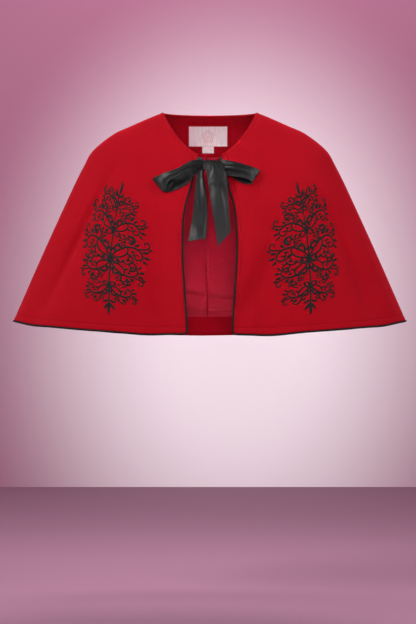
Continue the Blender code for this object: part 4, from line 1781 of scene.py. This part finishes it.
@dataclass
class Embroidery:
    """Black thread scrolls on both fronts: one stem with pairs of branches that mirror each other."""

    form: CapeForm
    finishes: Finishes
    top: tuple[float, float] = (0.178, -0.150)
    base: tuple[float, float] = (0.202, -0.424)
    height: float = 290.0
    stations: int = 34
    leaf_stations: int = 10
    stem: Rows = (
        # height of start, height of end, width at start, width at end
        (16, 150, 4.0, 3.6),
        (150, 262, 3.6, 2.6),
    )
    tiers: Rows = (
        # height on the stem, scale, +1 for branches that rise and -1 for ones that hang
        (66, 0.80, -1), (120, 1.00, -1), (132, 1.14, 1), (188, 0.98, 1),
        (234, 0.68, 1),
    )
    scrolls: Rows = (
        # start x, start y, heading, length, bends at five places in degrees per mm, widths at start, middle, end
        (1.0, 0.0, 52, 104, -0.1, -1.1, -2.5, -6.2, -16.0, 3.6, 4.4, 2.8),
        (1.0, -2.0, 8, 66, 0.2, 1.5, 3.4, 8.5, 18.0, 3.2, 4.0, 2.6),
        (24.0, 27.0, 86, 46, -0.4, -2.6, -6.4, -12.0, -22.0, 2.7, 3.5, 2.3),
        (49.0, 27.0, 2, 40, 0.8, 3.2, 7.0, 13.5, 22.0, 2.7, 3.5, 2.3),
        (31.0, -1.0, -8, 44, -1.0, -3.4, -7.0, -12.0, -21.0, 2.7, 3.5, 2.3),
        (1.0, 9.0, 72, 36, -0.5, -3.0, -7.5, -15.0, -25.0, 2.5, 3.2, 2.2),
        (1.0, -6.0, -46, 30, 1.0, 4.0, 9.0, 17.0, 27.0, 2.4, 3.1, 2.1),
    )
    leaves: Rows = (
        # x, y, heading, length, width
        (7.0, 9.0, 100, 12.0, 5.6),
        (17.0, 20.0, 128, 11.0, 5.4),
        (35.0, 30.0, 74, 12.0, 5.8),
        (42.0, 29.5, 44, 11.0, 5.4),
        (55.5, 22.0, 16, 12.0, 5.6),
        (58.0, 13.5, -10, 12.0, 5.6),
        (56.0, 5.5, -40, 11.0, 4.6),
        (30.0, 12.0, -18, 10.0, 4.4),
        (36.0, 17.5, 16, 9.0, 4.0),
        (64.0, 27.5, 30, 9.0, 4.2),
        (5.0, 18.0, 62, 10.0, 4.4),
        (34.0, -6.0, -70, 9.0, 4.0),
        (12.0, -2.0, -58, 9.0, 4.0),
        (22.0, -1.8, -44, 11.0, 4.6),
        (27.0, 8.0, 62, 9.0, 4.0),
        (43.0, 9.0, 120, 8.0, 3.8),
    )
    blossoms: Rows = (
        # x, y, petals, petal length, petal width
        (19.0, 34.5, 5, 5.4, 4.2),
    )
    berries: Rows = (
        # x, y, radius
        (42.0, 37.0, 1.9), (66.0, 33.0, 1.7), (8.5, 3.0, 1.5), (54.0, -9.0, 1.7),
    )
    stem_flowers: Rows = (
        # height, petals, petal length, petal width
        (66, 6, 6.2, 4.2),
        (126, 8, 8.4, 4.8),
        (188, 6, 6.6, 4.2),
    )
    finials: Rows = (
        # x, y, heading, length, width, for the right half and the middle
        (0.0, 260, 90, 30, 6.6),
        (1.0, 254, 58, 18, 5.6),
        (1.5, 247, 30, 12, 4.6),
        (0.0, 24, -90, 25, 7.0),
        (1.0, 28, -52, 20, 6.0),
        (1.5, 34, -20, 15, 5.2),
    )
    least_rise: float = 0.00028
    rise_share: float = 0.20
    most_rise: float = 0.00085

    def scroll(self, row: Sequence[float]) -> Array:
        """One scroll: a line whose heading is the running sum of its bend along it.

        Args:
            row: The scroll's row of numbers.

        Returns:
            Points in millimetres.
        """
        x, y, heading, length, *bends = row[:9]
        run = np.linspace(0, length, self.stations)
        bend = np.radians(np.interp(run / length, np.linspace(0, 1, 5), bends))
        steps = (bend[1:] + bend[:-1]) / 2 * run[1]
        turned = math.radians(heading) + np.concatenate([[0], np.cumsum(steps)])
        return walk(x, y, (turned[1:] + turned[:-1]) / 2, run[1])

    def leaf(self, x: float, y: float, heading: float, length: float, width: float) -> tuple[Array, Array]:
        """A leaf: a short line, slightly curved, of width w * sin(pi t^0.85) + 0.25 at t along it.

        Args:
            x: Its start across.
            y: Its start upward.
            heading: Its heading in degrees.
            length: Its length.
            width: The width w.

        Returns:
            Points and widths in millimetres.
        """
        share = np.linspace(0, 1, self.leaf_stations)
        bend = math.radians(heading) + 0.35 * (share - 0.5)
        line = walk(x, y, bend[:-1], length / (self.leaf_stations - 1))
        return line, width * np.sin(math.pi * share**0.85) + 0.25

    def flower(self, x: float, y: float, petals: int, length: float, width: float) -> list[tuple[Array, Array]]:
        """A blossom: leaves set evenly round a small middle.

        Args:
            x: Its middle across.
            y: Its middle upward.
            petals: How many petals it has.
            length: Length of a petal.
            width: Width of a petal.

        Returns:
            Points and widths of its leaves.
        """
        made = [self.leaf(x - 1.5, y, 0, 3.0, 3.0)]
        for number in range(petals):
            turn = 90 + 360 * (number + 0.5) / petals
            start = (x + 2.2 * math.cos(math.radians(turn)), y + 2.2 * math.sin(math.radians(turn)))
            made.append(self.leaf(*start, turn, length, width))
        return made

    def branch(self) -> tuple[Array, Array, Array, Array]:
        """The right half of one tier at full size.

        Returns:
            Scroll lines and widths, and leaf lines and widths, in millimetres.
        """
        lines = np.stack([self.scroll(row) for row in self.scrolls])
        share = np.linspace(0, 1, self.stations)
        widths = np.stack([np.interp(share, (0, 0.45, 1), row[9:12]) for row in self.scrolls])
        ends = np.clip(share / 0.03, 0.35, 1) * np.clip((1 - share) / 0.03, 0.45, 1)
        leaves = [self.leaf(*row) for row in self.leaves]
        for row in self.blossoms:
            leaves.extend(self.flower(*row))
        leaves.extend(self.leaf(x - radius, y, 0, 2 * radius, 2 * radius) for x, y, radius in self.berries)
        return lines, widths * ends, *map(np.stack, zip(*leaves))

    def design(self) -> list[tuple[Array, Array]]:
        """Every line of the whole pattern, in millimetres across and up from its base.

        Returns:
            Pairs of lines and widths, one pair for each number of points.
        """
        lines, widths, leaf_lines, leaf_widths = self.branch()
        scrolls, leaves = [], []
        for height, scale, way in self.tiers:
            for mirror in (-1, 1):
                turn, shift = np.array([mirror * scale, way * scale]), np.array([0.0, height])
                scrolls.append((lines * turn + shift, widths * (0.55 + 0.45 * scale)))
                leaves.append((leaf_lines * turn + shift, leaf_widths * scale**0.8))
        single = []
        for row in self.finials:
            line, width = self.leaf(*row)
            single.extend((line * np.array([mirror, 1]), width) for mirror in ((-1, 1) if row[0] else (1,)))
        for height, *petals in self.stem_flowers:
            single.extend(self.flower(0.0, height, *petals))
        leaves.extend((line[None], width[None]) for line, width in single)
        for low, high, start, end in self.stem:
            line = np.linspace((0.0, low), (0.0, high), self.stations)
            scrolls.append((line[None], np.linspace(start, end, self.stations)[None]))
        return [tuple(map(np.concatenate, zip(*group))) for group in (scrolls, leaves)]

    def on_cloth(self, line: Array, side: Side) -> tuple[Array, Array]:
        """Carries the pattern onto a front: across by angle, and up by share, both at their local size.

        Args:
            line: Points in millimetres.
            side: Which front.

        Returns:
            Points and normals on the shell.
        """
        form = self.form
        angles, shares = form.locate(*zip(self.base, self.top))
        climb = line[..., 1] / self.height
        axis = angles[0] + (angles[1] - angles[0]) * climb
        share = shares[0] + (shares[1] - shares[0]) * climb
        angle = (axis - line[..., 0] / 1000 / form.rates(axis, share)[0]) * side.value
        return form.layer(angle, share, 0.0)

    def build(self) -> dict[Side, bpy.types.Object]:
        """Builds the embroidery of both fronts.

        Returns:
            The two objects.
        """
        made = {}
        for side in Side:
            name = "embroidery_" + side.name.lower()
            bpy.ops.object.select_all(action="DESELECT")
            parts = []
            for line, width in self.design():
                metres = width / 1000
                rise = np.minimum(self.least_rise + self.rise_share * metres, self.most_rise)
                parts.append(thread_piece(name, *self.on_cloth(line, side), metres, rise))
                parts[-1].select_set(True)
            bpy.context.view_layer.objects.active = made[side] = parts[0]
            bpy.ops.object.join()
            hand_over(made[side], Slot.PIPING, self.finishes.embroidery)
        return made


@dataclass
class Studio:
    """A plain pale floor and wall with painted pools of light, soft lights and the camera at the photograph's angle.
    """

    floor_height: float = -1.016
    wall_depth: float = 2.5
    reach: float = 7.0
    floor_front: float = -2.4
    camera_place: tuple[float, float, float] = (-0.0036, -4.0, -0.419)
    camera_lens: float = 109.9
    lights: Rows = (
        # x, y, z, target x, y, z, width, height, watts, spread in degrees, whether it shows as gloss
        (-2.4, -1.5, 2.0, 0.0, 0.0, -0.22, 1.1, 1.1, 72.0, 180, True),
        (3.0, -1.2, 1.0, 0.0, 0.0, -0.25, 0.9, 1.4, 44.0, 180, True),
        (-2.6, 0.4, 0.6, 0.0, 0.0, -0.25, 0.5, 1.4, 11.0, 180, True),
        (0.3, -3.2, 1.4, 0.0, 0.0, -0.32, 1.0, 0.6, 9.0, 180, True),
        (0.1, 1.0, 2.8, 0.0, 2.5, -0.30, 1.8, 0.8, 39.0, 100, False),
        (0.5, 2.1, 2.0, 0.0, 0.0, -0.25, 1.2, 0.8, 9.0, 60, False),
        (0.0, -1.3, 0.09, 0.0, 0.115, -0.042, 0.145, 0.10, 0.023, 2, False),
        (0.0, -1.1, 2.02, 0.0, 0.155, -0.31, 0.10, 0.09, 0.05, 2, False),
        (0.1, -3.3, 0.45, 0.0, 0.0, -0.19, 0.5, 0.4, 0.10, 10, False),
        (0.0, -3.5, 0.1, 0.0, 0.0, -0.32, 1.0, 1.0, 23.0, 180, False),
    )
    ambient: float = 0.17

    def backdrop(self) -> None:
        """The floor and the wall, as two plain planes that face the camera."""
        wall, floor, side, front = self.wall_depth, self.floor_height, self.reach, self.floor_front
        sheets = (
            (
                "studio_floor",
                ((-side, front, floor), (side, front, floor), (side, wall, floor), (-side, wall, floor)),
                # The floor is painted paler round a place in front of the cape: a painted pool of light.
                StageFinish("studio floor", roughness=0.8, middle=(0.0, -0.6, floor)),
            ),
            (
                "studio_wall",
                ((-side, wall, floor), (side, wall, floor), (side, wall, side), (-side, wall, side)),
                # The wall has a painted glow of light round its middle behind the cape, reaching further up and down
                # than sideways.
                StageFinish(
                    "studio wall",
                    roughness=0.9,
                    colour=(0.33, 0.125, 0.20),
                    pale=(0.975, 0.86, 0.92),
                    middle=(0.09, wall, -0.53),
                    near=0.15,
                    far=0.99,
                    rise=1.33,
                ),
            ),
        )
        for name, corners, finish in sheets:
            mesh = bpy.data.meshes.new(name)
            mesh.from_pydata(corners, [], [(0, 1, 2, 3)])
            mesh.materials.append(finish.make())
            plane = bpy.data.objects.new(name, mesh)
            bpy.context.scene.collection.objects.link(plane)

    def light(self) -> None:
        """The soft lights, each turned to its target, and an even ambient light."""
        for number, (x, y, z, *target, width, height, watts, spread, gloss) in enumerate(self.lights):
            lamp = bpy.data.lights.new(f"softbox_{number}", "AREA")
            lamp.shape = "RECTANGLE"
            lamp.size, lamp.size_y, lamp.energy, lamp.spread = width, height, watts, math.radians(spread)
            holder = bpy.data.objects.new(lamp.name, lamp)
            holder.location = (x, y, z)
            aim = Vector(target) - Vector((x, y, z))
            holder.rotation_euler = aim.to_track_quat("-Z", "Y").to_euler()
            holder.visible_camera = False
            holder.visible_glossy = gloss
            bpy.context.scene.collection.objects.link(holder)
        world = bpy.data.worlds.new("studio air")
        world.use_nodes = True
        background = world.node_tree.nodes["Background"]
        background.inputs["Color"].default_value = (1.0, 0.93, 0.97, 1.0)
        background.inputs["Strength"].default_value = self.ambient
        bpy.context.scene.world = world
        bpy.context.scene.view_settings.view_transform = "Standard"

    def camera(self) -> None:
        """The camera, level and square to the front."""
        data = bpy.data.cameras.new("camera")
        data.lens = self.camera_lens
        holder = bpy.data.objects.new("camera", data)
        holder.location = self.camera_place
        holder.rotation_euler = (math.radians(90), 0, 0)
        bpy.context.scene.collection.objects.link(holder)
        bpy.context.scene.camera = holder

    def build(self) -> None:
        """Sets up the whole studio."""
        self.camera()
        self.backdrop()
        self.light()
        LOG.info("studio: floor at %.3f m, %d lights", self.floor_height, len(self.lights))


def main() -> None:
    """Builds the studio and every piece of the cape."""
    form = CapeForm()
    finishes = Finishes()
    Studio().build()
    trims = Embroidery(form, finishes).build()
    Shell(form, finishes).build(trims)
    BackInside(form, finishes).build()
    Piping(form, finishes).build()
    Bow(form, finishes).build()


if __name__ == "__main__":
    main()
